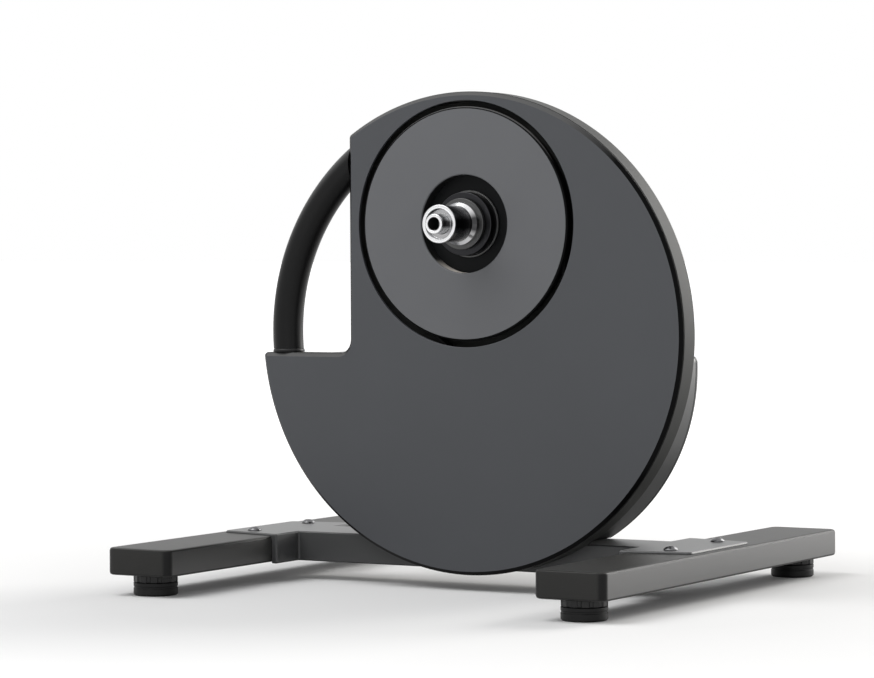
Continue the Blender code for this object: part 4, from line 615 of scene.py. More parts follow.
def make_finishes():
    """Every finish of the trainer by name."""
    c = settings().colours
    return {
        "cover": coated("cover_coat", c.cover, 0.46, grain=1400.0, bump=0.05, wear=0.35, dust=0.10),
        # Painted shade and painted highlight: a black chamfer, lighter along its upper part.
        "edge_shade": coated(
            "black_trim", c.edge_shade, 0.34, spread=0.03, bump=0.02, painted_light=(c.painted_chamfer_light, 0.50, 0.63),
            Specular_IOR_Level=0.05,
        ),
        # Painted sheen on the rim band's upper faces.
        "rim": coated(
            "rim_coat", c.rim, 0.50, grain=1400.0, bump=0.05, wear=0.2, dust=0.08,
            painted_sheen=("Up", -0.60, 0.0, 0.55), Specular_IOR_Level=0.06, Coat_Roughness=0.75,
        ),
        "disc": coated("disc_coat", c.disc, 0.50, grain=1600.0, bump=0.05, wear=0.25),
        # Painted shade in the disc's recess, with painted light on its lower, upward faces.
        "recess": coated(
            "recess_lacquer", c.inside, 0.5, spread=0.03, painted_light=(c.recess_light, 0.72, 1.0),
            Specular_IOR_Level=0.2,
        ),
        # Painted shade on the bars' upright corners, and a painted sheen on faces that look right.
        "base": coated(
            "bar_coat", c.base, 0.42, grain=1100.0, bump=0.10, wear=0.2, dust=0.03, corners=c.edge_shade,
            painted_sheen=("Right", 0.97, 1.0, 1.0), Specular_IOR_Level=0.2, Coat_Roughness=0.36,
        ),
        # Painted sheen on the beam's and the housing's faces that don't look down.
        "beam": coated(
            "beam_coat", c.beam, 0.46, grain=1100.0, bump=0.10, wear=0.2, dust=0.03,
            painted_sheen=("Up", -0.75, 0.0, 0.8), Specular_IOR_Level=0.1, Coat_Roughness=0.42,
        ),
        "pulley": coated("pulley_black", c.pulley, 0.5, spread=0.03, Specular_IOR_Level=0.1),
        # Painted light along the handle's upper part.
        "handle": coated(
            "handle_black", c.handle, 0.36, spread=0.03, bump=0.03, painted_light=(c.handle_light, 0.2, 0.9),
            Specular_IOR_Level=0.16,
        ),
        "rubber": coated(
            "foot_rubber", c.rubber, 0.5, grain=700.0, bump=0.1, dust=0.05, Specular_IOR_Level=0.25
        ),
        "wheel": coated("wheel_black", c.rubber, 0.32, spread=0.03, bump=0.03, Specular_IOR_Level=0.35),
        "plastic": coated("black_plastic", c.plastic, 0.48, grain=1000.0, bump=0.1, wear=0.2),
        "barrel": machined("hub_barrel", c.barrel, 0.34),
        "seal": machined("seal_ring", c.seal, 0.42),
        # Painted highlights on faces that look up, down or ahead, and painted dark reflection between them.
        "polished": machined(
            "polished_axle", c.polished, 0.2, spread=0.04, bump=0.03, wear=0.3,
            shadowed=(c.shadowed, "Up or down", 0.22, 0.52),
        ),
        # Painted light on the end cap recess's upward faces and painted shade on its downward ones.
        "hollow": machined(
            "polished_hollow", c.polished, 0.26, spread=0.03, bump=0.03,
            shadowed=(c.shadowed, "Up", -0.5, 0.6),
        ),
        "steel": ground("ground_steel", c.steel, 0.36),
        "bolt": ground("bolt_steel", c.bolt, 0.24, 600.0),
        "aluminium": machined("machined_aluminium", c.aluminium, 0.34),
        # Painted shade in the end cap's bore.
        "inside": coated("inside_lacquer", c.inside, 0.55, Specular_IOR_Level=0.3),
        "belt": coated("belt_rubber", c.belt, 0.66, grain=600.0, bump=0.2, Specular_IOR_Level=0.1),
        "winding": wound("copper_winding", c.winding),
        "board": circuit("circuit_board", c.board),
        "lens": coated("smoked_lens", c.lens, 0.12, spread=0.02, bump=0.01, Coat_Weight=1.0),
    }


FINISHES = {}


def finish(name):
    """A finish by name. All are made together, the first time that one is asked for."""
    if not FINISHES:
        FINISHES.update(make_finishes())
    return FINISHES[name]


def face_outwards(shape):
    """Points every face outwards."""
    bmesh.ops.recalc_face_normals(shape, faces=shape.faces[:])


def clean(shape):
    """Merges doubles and points every face outwards."""
    bmesh.ops.remove_doubles(shape, verts=shape.verts[:], dist=WELD)
    face_outwards(shape)


def shift(shape, way):
    """Moves a whole shape."""
    bmesh.ops.translate(shape, verts=shape.verts[:], vec=way)


def everything_in(shape):
    """All of a shape's corners, edges and faces."""
    return shape.verts[:] + shape.edges[:] + shape.faces[:]


def only(kind, items):
    """Those items that are of one kind."""
    return [item for item in items if isinstance(item, kind)]


def new_edges(shape, before):
    """The edges that a shape has gained."""
    return [edge for edge in shape.edges if edge not in before]


def spin_round(shape, steps):
    """Spins a wire a full turn round the upright line through the origin."""
    bmesh.ops.spin(
        shape, geom=everything_in(shape), cent=(0, 0, 0), axis=(0, 0, 1), angle=FULL_TURN, steps=steps,
        use_merge=True,
    )


def add_piece(name, shape, finish_name, body, nodes=(), sharp=SHARP_ANGLE, others=()):
    """Turns a shape into a piece that rides on a body and stands for CAD nodes."""
    mesh = bpy.data.meshes.new(name)
    shape.to_mesh(mesh)
    shape.free()
    mesh.shade_smooth()
    mesh.set_sharp_from_angle(angle=sharp)
    mesh.materials.append(finish(finish_name))
    for other in others:
        mesh.materials.append(finish(other))
    piece = bpy.data.objects.new(name, mesh)
    bpy.context.scene.collection.objects.link(piece)
    even = piece.modifiers.new("even_shading", "WEIGHTED_NORMAL")
    even.keep_sharp = True
    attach(piece, body)
    if nodes:
        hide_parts(*nodes)
    return piece


def round_vertex(shape, vertex, reach, segments=6):
    """Rounds a corner of a wire."""
    bmesh.ops.bevel(
        shape, geom=[vertex], offset=reach, offset_type="OFFSET", segments=segments, profile=0.5,
        affect="VERTICES", material=-1,
    )


def round_edges(shape, edges, width, segments=3):
    """Rounds edges by a width."""
    bmesh.ops.bevel(
        shape, geom=edges, offset=width, offset_type="OFFSET", segments=segments, profile=0.5,
        affect="EDGES", material=-1,
    )


def rounded_wire(shape, corners, close):
    """A wire through corners of (place, rounding), where a rounding is the corner's radius."""
    places = [Vector(place) for place, rounding in corners]
    verts = [shape.verts.new(place) for place in places]
    for first, second in zip(verts, verts[1:] + verts[: 1 if close else 0]):
        shape.edges.new((first, second))
    last = len(verts) - 1
    for i, (place, rounding) in enumerate(corners):
        if rounding <= 0 or (not close and i in (0, last)):
            continue
        back = places[i - 1] - places[i]
        ahead = places[(i + 1) % len(places)] - places[i]
        round_vertex(shape, verts[i], rounding / math.tan(back.angle(ahead) / 2), segments=3)


def profile_wire(shape, corners, close):
    """A turned shape's profile, from corners of (radius, place along the axis, rounding)."""
    rounded_wire(shape, [((radius, 0.0, along), rounding) for radius, along, rounding in corners], close)


def turned(corners, steps, centre, upright=False, close=True):
    """A turned solid from corners of (radius, place along the axis, rounding)."""
    shape = bmesh.new()
    profile_wire(shape, corners, close)
    spin_round(shape, steps)
    if not upright:
        lying = Matrix.Rotation(-math.pi / 2, 3, "X")
        bmesh.ops.rotate(shape, verts=shape.verts[:], cent=(0, 0, 0), matrix=lying)
    shift(shape, centre)
    clean(shape)
    return shape


def turned_on_axle(corners, times=1):
    """A solid turned about the axle, with the hub's steps or a multiple of them."""
    return turned(corners, times * settings().hub.steps, axle_centre())


def circle_loop(shape, x, y, z, radius, steps):
    """The edges of an upright circle."""
    before = set(shape.edges)
    turn = Matrix.Translation((x, y, z)) @ Matrix.Rotation(math.pi / 2, 4, "X")
    bmesh.ops.create_circle(shape, cap_ends=False, segments=steps, radius=radius, matrix=turn)
    return new_edges(shape, before)


def arc_of(shape, centre, radius, start, end, steps):
    """An upright arc of edges. Gives its two end points."""
    first = shape.verts.new(centre + radius * Vector((math.cos(start), 0.0, math.sin(start))))
    swept = bmesh.ops.spin(shape, geom=[first], cent=centre, axis=(0, 1, 0), angle=start - end, steps=steps)
    return first, only(bmesh.types.BMVert, swept["geom_last"])[0]


def case_loop(shape, inset, y):
    """The edges of the casing's outline at a depth: one long arc, the notch's wall and its ledge."""
    casing = settings().casing
    before = set(shape.edges)
    radius = casing.radius - inset
    wall_x = casing.notch_x + inset
    ledge_z = casing.ledge_z - inset
    tip = math.pi + math.asin((casing.centre_z - ledge_z) / radius)
    top = math.acos((wall_x - casing.axle_x) / radius) + FULL_TURN
    centre = Vector((casing.axle_x, y, casing.centre_z))
    start, end = arc_of(shape, centre, radius, tip, top, casing.steps)
    corner = shape.verts.new((wall_x, y, ledge_z))
    shape.edges.new((end, corner))
    shape.edges.new((corner, start))
    rounding = max(casing.tip - inset, LEAST_ROUNDING)
    lean = math.pi / 2 - math.acos((wall_x - casing.axle_x) / radius)
    round_vertex(shape, corner, casing.fillet + inset)
    round_vertex(shape, start, rounding)
    round_vertex(shape, end, 2 * rounding * abs(math.tan(lean / 2)))
    return new_edges(shape, before)


def drum_loop(shape, inset, y):
    """The edges of the rear housing's outline at a depth: two arcs, a flat foot and a scooped top."""
    casing, drum = settings().casing, settings().drum
    before = set(shape.edges)
    radius = drum.radius - inset
    scoop = drum.scoop + inset
    low = math.asin((drum.bottom_z + inset - drum.centre_z) / radius)
    high = math.asin((drum.top_z - inset - drum.centre_z) / radius)
    half = math.acos((casing.axle_z - drum.top_z + inset) / scoop)
    middle = Vector((drum.centre_x, y, drum.centre_z))
    hub = Vector((casing.axle_x, y, casing.axle_z))
    right = arc_of(shape, middle, radius, low, high, drum.steps)
    top = arc_of(shape, hub, scoop, half - math.pi / 2, -half - math.pi / 2, drum.steps)
    left = arc_of(shape, middle, radius, math.pi - high, math.pi - low, drum.steps)
    for first, second in ((right[1], top[0]), (top[1], left[0]), (left[1], right[0])):
        shape.edges.new((first, second))
    for vertex in (right[1], top[0], top[1], left[0]):
        round_vertex(shape, vertex, max(drum.corner - inset, LEAST_ROUNDING))
    return new_edges(shape, before)


def fill_between(shape, *loops):
    """Fills a flat face whose outline and holes are given."""
    edges = [edge for loop in loops for edge in loop]
    bmesh.ops.triangle_fill(shape, edges=edges, use_beauty=True, use_dissolve=False, normal=(0, -1, 0))


def bridge(shape, first, second):
    """Joins two loops by faces. A flat ring between loops at one depth is filled."""
    if abs(first[0].verts[0].co.y - second[0].verts[0].co.y) < WELD:
        fill_between(shape, first, second)
    else:
        bmesh.ops.bridge_loops(shape, edges=first + second)


def bridge_chain(shape, loops):
    """Joins each loop to the next."""
    for first, second in zip(loops, loops[1:]):
        bridge(shape, first, second)


def copy_of(node):
    """A copy of a CAD node's mesh with its doubles merged and its flat faces joined."""
    shape = bmesh.new()
    shape.from_mesh(NODES[node].data)
    bmesh.ops.remove_doubles(shape, verts=shape.verts[:], dist=WELD)
    bmesh.ops.dissolve_limit(
        shape, angle_limit=FLAT_ANGLE, verts=shape.verts[:], edges=shape.edges[:],
        use_dissolve_boundaries=False,
    )
    return shape


def soften_edges(piece, width):
    """Rounds a piece's sharp edges by a modifier, ahead of its even shading."""
    bevel = piece.modifiers.new("rounded_edges", "BEVEL")
    bevel.width = width
    bevel.segments = 2
    bevel.limit_method = "ANGLE"
    bevel.angle_limit = SHARP_ANGLE
    piece.modifiers.move(len(piece.modifiers) - 1, 0)


def numbered_places(spacing):
    """Numbers and places of the bolts or feet of both bars, from their distance along a bar."""
    across = settings().base.bar_spacing / 2
    places = [(x * across, y * spacing / 2, 0.0) for x in (-1, 1) for y in (-1, 1)]
    return enumerate(places, start=1)


class TRAINER_OT_camera(bpy.types.Operator):
    """Stand the camera where the picture was taken"""

    bl_idname = "trainer.camera"
    bl_label = "Camera"

    def execute(self, context):
        studio = settings().studio
        data = bpy.data.cameras.new("camera")
        camera = bpy.data.objects.new("camera", data)
        context.scene.collection.objects.link(camera)
        data.sensor_fit = "HORIZONTAL"
        data.lens = studio.focal_pixels / PICTURE_WIDTH * data.sensor_width
        pitch, roll, turn = studio.camera_turn
        stand = Matrix.Translation(studio.camera_place)
        aim = Matrix.Rotation(turn, 4, "Z") @ Matrix.Rotation(math.pi / 2 + pitch, 4, "X")
        camera.matrix_world = stand @ aim @ Matrix.Rotation(roll, 4, "Z")
        context.scene.camera = camera
        return {"FINISHED"}


def soft_panel(name, place, aim, width, height, colour, watts):
    """A soft panel lamp that points at a place and doesn't show to the camera."""
    data = bpy.data.lights.new(name, "AREA")
    data.shape = "RECTANGLE"
    data.size = width
    data.size_y = height
    data.energy = watts
    data.color = colour
    lamp = bpy.data.objects.new(name, data)
    bpy.context.scene.collection.objects.link(lamp)
    way = Vector(aim) - Vector(place)
    lamp.matrix_world = Matrix.Translation(place) @ way.to_track_quat("-Z", "Y").to_matrix().to_4x4()
    lamp.visible_camera = False


def seen_directly(tree):
    """1 for camera, glossy and transmission rays, and 0 for the rays that only light things."""
    path = add_node(tree, "ShaderNodeLightPath")
    seen = maths(tree, "MAXIMUM", path.outputs["Is Camera Ray"], path.outputs["Is Glossy Ray"])
    return maths(tree, "MAXIMUM", seen, path.outputs["Is Transmission Ray"])


class TRAINER_OT_stage(bpy.types.Operator):
    """Make the pale floor, the room and the soft panels"""

    bl_idname = "trainer.stage"
    bl_label = "Stage"

    def execute(self, context):
        studio = settings().studio
        shape = bmesh.new()
        bmesh.ops.create_grid(shape, x_segments=1, y_segments=1, size=FLOOR_REACH)
        mesh = bpy.data.meshes.new("studio_floor")
        shape.to_mesh(mesh)
        shape.free()
        floor = bpy.data.objects.new("studio_floor", mesh)
        context.scene.collection.objects.link(floor)
        mesh.materials.append(self.floor_material())
        self.room(context.scene, studio.sky)
        for panel in PANELS:
            soft_panel(*panel, getattr(studio, panel[0]))
        context.scene.view_settings.view_transform = "Standard"
        return {"FINISHED"}

    def floor_material(self):
        """Pale paper that brightens to white where the camera sees it far off."""
        colour = settings().colours.floor
        material, tree, shader = new_material("studio_paper", Roughness=0.85, Specular_IOR_Level=0.1)
        mottle = place_group(tree, "Coat grain", Grain_scale=300.0, Mottle_scale=1.5)["Mottle"]
        base = blend_colours(tree, mottle, shade(colour, 0.99), shade(colour, 1.01))
        tree.links.new(base, shader.inputs["Base Color"])
        far = add_node(tree, "ShaderNodeVectorMath", {0: object_place(tree)}, operation="LENGTH")
        lift = ramp(tree, far.outputs["Value"], 0.4, 3.0, 0.03, 1.0)
        glow = add_node(tree, "ShaderNodeEmission", {"Color": (1.0, 1.0, 1.0, 1.0)})
        tree.links.new(maths(tree, "MULTIPLY", lift, seen_directly(tree)), glow.inputs["Strength"])
        both = add_node(tree, "ShaderNodeAddShader", {0: shader.outputs[0], 1: glow.outputs[0]})
        tree.links.new(both.outputs[0], tree.nodes["Material Output"].inputs["Surface"])
        return material

    def room(self, scene, strength):
        """Even light all round, plain white where it is seen directly."""
        world = bpy.data.worlds.new("studio_room")
        world.use_nodes = True
        scene.world = world
        tree = world.node_tree
        light = tree.nodes["Background"]
        light.inputs["Color"].default_value = (1.0, 1.0, 1.0, 1.0)
        tree.links.new(between(tree, seen_directly(tree), strength, 1.0), light.inputs["Strength"])


class TRAINER_OT_cover(bpy.types.Operator):
    """Make the casing's front cover with the disc's opening"""

    bl_idname = "trainer.cover"
    bl_label = "Front cover"

    def execute(self, context):
        casing = settings().casing
        shape = bmesh.new()
        outer = casing.cover_inset
        inner = casing.cover_inset + casing.cover_lip
        pocket_y = casing.front_y + casing.cover_skin
        front = case_loop(shape, outer + casing.cover_chamfer, casing.front_y)
        side = case_loop(shape, outer, casing.front_y + casing.cover_chamfer)
        back = case_loop(shape, outer, casing.cover_back_y)
        lip = case_loop(shape, inner, casing.cover_back_y)
        floor = case_loop(shape, inner, pocket_y)
        bridge(shape, front, side)
        # The chamfer's faces take the second finish, painted shade.
        for face in shape.faces:
            face.material_index = 1
        bridge_chain(shape, [side, back, lip, floor])
        x, z = casing.axle_x, casing.axle_z
        mouth = circle_loop(shape, x, casing.front_y, z, casing.opening, casing.steps)
        throat = circle_loop(shape, x, pocket_y, z, casing.opening, casing.steps)
        bridge(shape, mouth, throat)
        fill_between(shape, front, mouth)
        fill_between(shape, floor, throat)
        face_outwards(shape)
        round_edges(shape, mouth, casing.cover_edge)
        clean(shape)
        add_piece("cover", shape, "cover", "base", ["front_cover"], others=["edge_shade"])
        return {"FINISHED"}


class TRAINER_OT_casting(bpy.types.Operator):
    """Make the casing's main casting: rim band, groove, spigot and back wall"""

    bl_idname = "trainer.casting"
    bl_label = "Main casting"

    def execute(self, context):
        casing = settings().casing
        shape = bmesh.new()
        rim_back = case_loop(shape, 0.0, casing.rim_back_y)
        rim_front = case_loop(shape, 0.0, casing.rim_front_y)
        loops = [
            rim_back,
            rim_front,
            case_loop(shape, casing.groove_depth, casing.rim_front_y),
            case_loop(shape, casing.groove_depth, casing.spigot_y),
            case_loop(shape, casing.wall, casing.spigot_y),
            case_loop(shape, casing.wall, casing.floor_y),
        ]
        bridge_chain(shape, loops)
        places = [
            (casing.boss_radius, casing.rim_back_y),
            (casing.boss_radius, casing.boss_back_y),
            (casing.bearing_radius, casing.boss_back_y),
            (casing.bearing_radius, casing.floor_y),
        ]
        x, z, steps = casing.axle_x, casing.axle_z, casing.boss_steps
        rings = [circle_loop(shape, x, y, z, radius, steps) for radius, y in places]
        bridge_chain(shape, rings)
        fill_between(shape, rim_back, rings[0])
        fill_between(shape, loops[-1], rings[-1])
        face_outwards(shape)
        round_edges(shape, rim_back, casing.rim_edge)
        round_edges(shape, rim_front, casing.rim_front_edge, segments=1)
        clean(shape)
        add_piece("casting", shape, "rim", "base", ["main_frame"])
        return {"FINISHED"}


class TRAINER_OT_disc(bpy.types.Operator):
    """Make the turning face disc with its recess"""

    bl_idname = "trainer.disc"
    bl_label = "Face disc"

    def execute(self, context):
        hub = settings().hub
        corners = [
            (hub.disc_radius, hub.disc_front_y, hub.disc_edge),
            (hub.disc_radius, hub.disc_back_y, 0.3 * MM),
            (hub.recess + hub.recess_wall, hub.disc_back_y, 0.0),
            (hub.recess + hub.recess_wall, hub.recess_back_y, 0.3 * MM),
            (hub.recess, hub.recess_back_y, 0.3 * MM),
            (hub.recess, hub.disc_front_y, hub.recess_edge),
        ]
        shape = turned_on_axle(corners, 2)
        # The recess's faces take painted shade and light, and the rounded rim takes painted shade where the
        # disc meets the opening.
        for face in shape.faces:
            radius, y = about_axle(face)
            if y > hub.disc_front_y + hub.disc_edge and radius < hub.recess + 2 * hub.recess_wall:
                face.material_index = 1
            if radius > hub.disc_radius - hub.disc_edge:
                face.material_index = 2
        add_piece("face_disc", shape, "disc", "hub", ["pulley_disc"], others=["recess", "edge_shade"])
        return {"FINISHED"}


class TRAINER_OT_hub(bpy.types.Operator):
    """Make the hub's shell, the seal ring, the axle and its end caps"""

    bl_idname = "trainer.hub"
    bl_label = "Hub and axle"

    def execute(self, context):
        self.shell()
        self.seal_ring()
        self.axle()
        self.near_cap()
        self.far_cap()
        return {"FINISHED"}

    def shell(self):
        """The stepped barrel, its flange and the hub's shaft, with seats for the axle's bearings."""
        hub = settings().hub
        near_seat = hub.barrel_front_y + hub.bearing_depth
        far_seat = hub.shaft_back_y - hub.bearing_depth
        passage = hub.axle + hub.axle_room
        corners = [
            (hub.barrel, hub.barrel_front_y, 0.8 * MM),
            (hub.barrel, hub.flange_front_y, 0.6 * MM),
            (hub.flange, hub.flange_front_y, 0.3 * MM),
            (hub.flange, hub.flange_back_y, 0.3 * MM),
            (hub.shaft, hub.flange_back_y, 0.0),
            (hub.shaft, hub.shaft_back_y, 0.4 * MM),
            (hub.far_bearing, hub.shaft_back_y, 0.0),
            (hub.far_bearing, far_seat, 0.0),
            (passage, far_seat, 0.0),
            (passage, near_seat, 0.0),
            (hub.bearing, near_seat, 0.0),
            (hub.bearing, hub.barrel_front_y, 0.4 * MM),
        ]
        shape = turned_on_axle(corners)
        # The flange's faces take the lighter seal finish, a painted highlight for the light line round the
        # flange.
        for face in shape.faces:
            if about_axle(face)[0] > hub.barrel + 2 * NEAR:
                face.material_index = 1
        add_piece("hub_barrel", shape, "barrel", "hub", ["hub_shell"], others=["seal"])

    def seal_ring(self):
        """The dark ring behind the near end cap."""
        hub = settings().hub
        inner = hub.axle + FIT
        corners = [
            (hub.seal_radius, hub.seal_front_y, 0.6 * MM),
            (hub.seal_radius, hub.seal_back_y, 0.3 * MM),
            (inner, hub.seal_back_y, 0.0),
            (inner, hub.seal_front_y, 0.0),
        ]
        add_piece("seal_ring", turned_on_axle(corners), "seal", "base", ["left_seal_cap"])

    def axle(self):
        """The hollow axle."""
        hub = settings().hub
        corners = [
            (hub.axle, hub.axle_front_y, 0.5 * MM),
            (hub.axle, hub.axle_back_y, 0.5 * MM),
            (hub.bore, hub.axle_back_y, 0.3 * MM),
            (hub.bore, hub.axle_front_y, 0.3 * MM),
        ]
        add_piece("axle", turned_on_axle(corners), "steel", "base", ["axle_tube"])

    def near_cap(self):
        """The near end cap: a rim, a recess with the tip in it, a neck and a flared foot."""
        hub = settings().hub
        floor = hub.cap_face_y + hub.cap_recess_depth
        back = hub.seal_front_y - FIT
        straight_end = hub.cap_face_y + hub.cap_straight
        socket = hub.axle_front_y - FIT
        corners = [
            (hub.tip_radius, hub.cap_face_y - hub.tip_length, 0.8 * MM),
            (hub.tip_radius, floor, 0.6 * MM),
            (hub.cap_recess, floor, 0.8 * MM),
            (hub.cap_recess, hub.cap_face_y, 0.6 * MM),
            (hub.cap_radius, hub.cap_face_y, 0.5 * MM),
            (hub.cap_radius, hub.cap_face_y + hub.cap_lip, 0.4 * MM),
            (hub.cap_neck, hub.cap_face_y + hub.cap_lip + hub.cap_radius - hub.cap_neck, 0.4 * MM),
            (hub.cap_neck, straight_end, 1.5 * MM),
            (hub.cap_flare, back - hub.cap_foot, 0.5 * MM),
            (hub.cap_flare, back, 0.3 * MM),
            (hub.axle + FIT, back, 0.0),
            (hub.axle + FIT, socket, 0.0),
            (hub.bore, socket, 0.0),
            (hub.bore, hub.cap_face_y - hub.tip_length, 0.5 * MM),
        ]
        shape = turned_on_axle(corners)
        # The recess's faces past its polished lip take painted light and shade, and the bore takes painted
        # shade.
        for face in shape.faces:
            radius, y = about_axle(face)
            if radius < hub.cap_recess + NEAR and hub.cap_face_y + hub.cap_painted_shade_depth < y < floor + MM:
                face.material_index = 1
            if radius < hub.bore + NEAR:
                face.material_index = 2
        add_piece("axle_end", shape, "polished", "base", ["left_end_cap"], others=["hollow", "inside"])

    def far_cap(self):
        """The far end cap, a plain ring."""
        hub = settings().hub
        socket = hub.axle_back_y + FIT
        corners = [
            (hub.far_cap, hub.far_cap_front_y, 0.4 * MM),
            (hub.far_cap, hub.far_cap_back_y, 0.9 * MM),
            (hub.bore, hub.far_cap_back_y, 0.4 * MM),
            (hub.bore, socket, 0.0),
            (hub.axle + FIT, socket, 0.0),
            (hub.axle + FIT, hub.far_cap_front_y, 0.0),
        ]
        shape = turned_on_axle(corners)
        add_piece("far_axle_end", shape, "polished", "base", ["right_end_cap"])


class TRAINER_OT_handle(bpy.types.Operator):
    """Make the handle's bent tube and its collar on the ledge"""

    bl_idname = "trainer.handle"
    bl_label = "Handle"

    def execute(self, context):
        self.tube()
        self.collar()
        return {"FINISHED"}

    def foot_angle(self):
        """The angle round the casing's centre at which the tube's centre line meets the ledge."""
        casing, handle = settings().casing, settings().handle
        return math.pi + math.asin((casing.centre_z - casing.ledge_z) / handle.arc)

    def tube(self):
        """A ring swept past both ends, cut off above the collar and at the notch's wall, and made hollow."""
        casing, handle = settings().casing, settings().handle
        start = self.foot_angle() + handle.tube / handle.arc
        end = math.acos((casing.notch_x + 2 * handle.tube - casing.axle_x) / handle.arc)
        centre = Vector((casing.axle_x, handle.y, casing.centre_z))
        shape = bmesh.new()
        ring_place = Matrix.Translation(centre + Vector((handle.arc, 0.0, 0.0)))
        bmesh.ops.create_circle(shape, segments=handle.around, radius=handle.tube, matrix=ring_place)
        bmesh.ops.rotate(shape, verts=shape.verts[:], cent=centre, matrix=Matrix.Rotation(-start, 3, "Y"))
        bmesh.ops.spin(
            shape, geom=everything_in(shape), cent=centre, axis=(0, 1, 0), angle=start - end,
            steps=handle.along,
        )
        seat = casing.ledge_z + handle.collar_height + FIT
        wall = casing.notch_x - FIT
        for plane, outward in (((0.0, 0.0, seat), (0, 0, -1)), ((wall, 0.0, 0.0), (1, 0, 0))):
            bmesh.ops.bisect_plane(
                shape, geom=everything_in(shape), dist=WELD, plane_co=plane, plane_no=outward,
                clear_outer=True,
            )
        face_outwards(shape)
        bmesh.ops.solidify(shape, geom=shape.faces[:], thickness=handle.wall)
        clean(shape)
        add_piece("handle", shape, "handle", "base", ["handle_tube"])

    def collar(self):
        """The collar on the ledge, with its plugs into the tube and the ledge."""
        casing, handle = settings().casing, settings().handle
        x = casing.axle_x + handle.arc * math.cos(self.foot_angle())
        low = casing.ledge_z + FIT
        seat = casing.ledge_z + handle.collar_height
        bore = handle.tube - handle.wall - handle.plug_slack
        corners = [
            (0.0, seat + handle.plug_reach, 0.0),
            (bore, seat + handle.plug_reach, 0.5 * MM),
            (bore, seat, 0.0),
            (handle.tube, seat, 0.3 * MM),
            (handle.collar_radius, low + 1.4 * MM, 1.2 * MM),
            (handle.collar_radius, low, 0.2 * MM),
            (handle.plug, low, 0.0),
            (handle.plug, casing.ledge_z - handle.plug_depth, 0.5 * MM),
            (0.0, casing.ledge_z - handle.plug_depth, 0.0),
        ]
        shape = turned(corners, handle.around, (x, handle.y, 0.0), upright=True, close=False)
        add_piece("handle_collar", shape, "handle", "base", ["handle_plug_lower"])


class TRAINER_OT_base(bpy.types.Operator):
    """Round the edges of the beam and the bars"""

    bl_idname = "trainer.base"
    bl_label = "Beam and bars"

    def execute(self, context):
        base = settings().base
        pieces = (
            ("beam", "base_beam", "beam"),
            ("front_foot_bar", "front_bar", "base"),
            ("rear_foot_bar", "rear_bar", "base"),
        )
        for name, node, coat in pieces:
            piece = add_piece(name, copy_of(node), coat, "base", [node], sharp=math.radians(30.0))
            soften_edges(piece, base.edge)
        return {"FINISHED"}


class TRAINER_OT_bolts(bpy.types.Operator):
    """Make the four dome-head bolts with their hexagon sockets"""

    bl_idname = "trainer.bolts"
    bl_label = "Dome bolts"

    def execute(self, context):
        base = settings().base
        for number, centre in numbered_places(base.bolt_spacing):
            add_piece(f"dome_bolt_{number}", self.bolt(base, centre), "bolt", "base", [f"bar_bolt_{number}"])
        return {"FINISHED"}

    def bolt(self, base, centre):
        """A dome head whose top is a hexagon sunk into it, over its shank."""
        seat = base.bolt_seat
        top = seat + base.bolt_height
        end = seat - base.bolt_length
        shape = bmesh.new()
        corners = [
            (base.bolt_socket * BOLT_FLAT, top, 0.0),
            (base.bolt_head * BOLT_SHOULDER, top - base.bolt_height * BOLT_DROP, 2.4 * MM),
            (base.bolt_head, seat + base.bolt_height * BOLT_RIM, 1.0 * MM),
            (base.bolt_head, seat, 0.0),
            (base.bolt_shank, seat, 0.0),
            (base.bolt_shank, end, 0.0),
            (0.0, end, 0.0),
        ]
        profile_wire(shape, corners, close=False)
        spin_round(shape, base.bolt_steps)
        bmesh.ops.remove_doubles(shape, verts=shape.verts[:], dist=WELD)
        rim = [edge for edge in shape.edges if edge.is_boundary]
        before = set(shape.edges)
        level = Matrix.Translation((0.0, 0.0, top))
        bmesh.ops.create_circle(shape, segments=6, radius=base.bolt_socket, matrix=level)
        hexagon = new_edges(shape, before)
        bmesh.ops.triangle_fill(shape, edges=rim + hexagon, use_beauty=True, normal=(0, 0, 1))
        sunk = bmesh.ops.extrude_edge_only(shape, edges=hexagon)["geom"]
        lowered = only(bmesh.types.BMVert, sunk)
        bmesh.ops.translate(shape, verts=lowered, vec=(0.0, 0.0, -base.bolt_socket_depth))
        floor = [edge for edge in only(bmesh.types.BMEdge, sunk) if edge.is_boundary]
        bmesh.ops.contextual_create(shape, geom=floor)
        shift(shape, centre)
        clean(shape)
        return shape


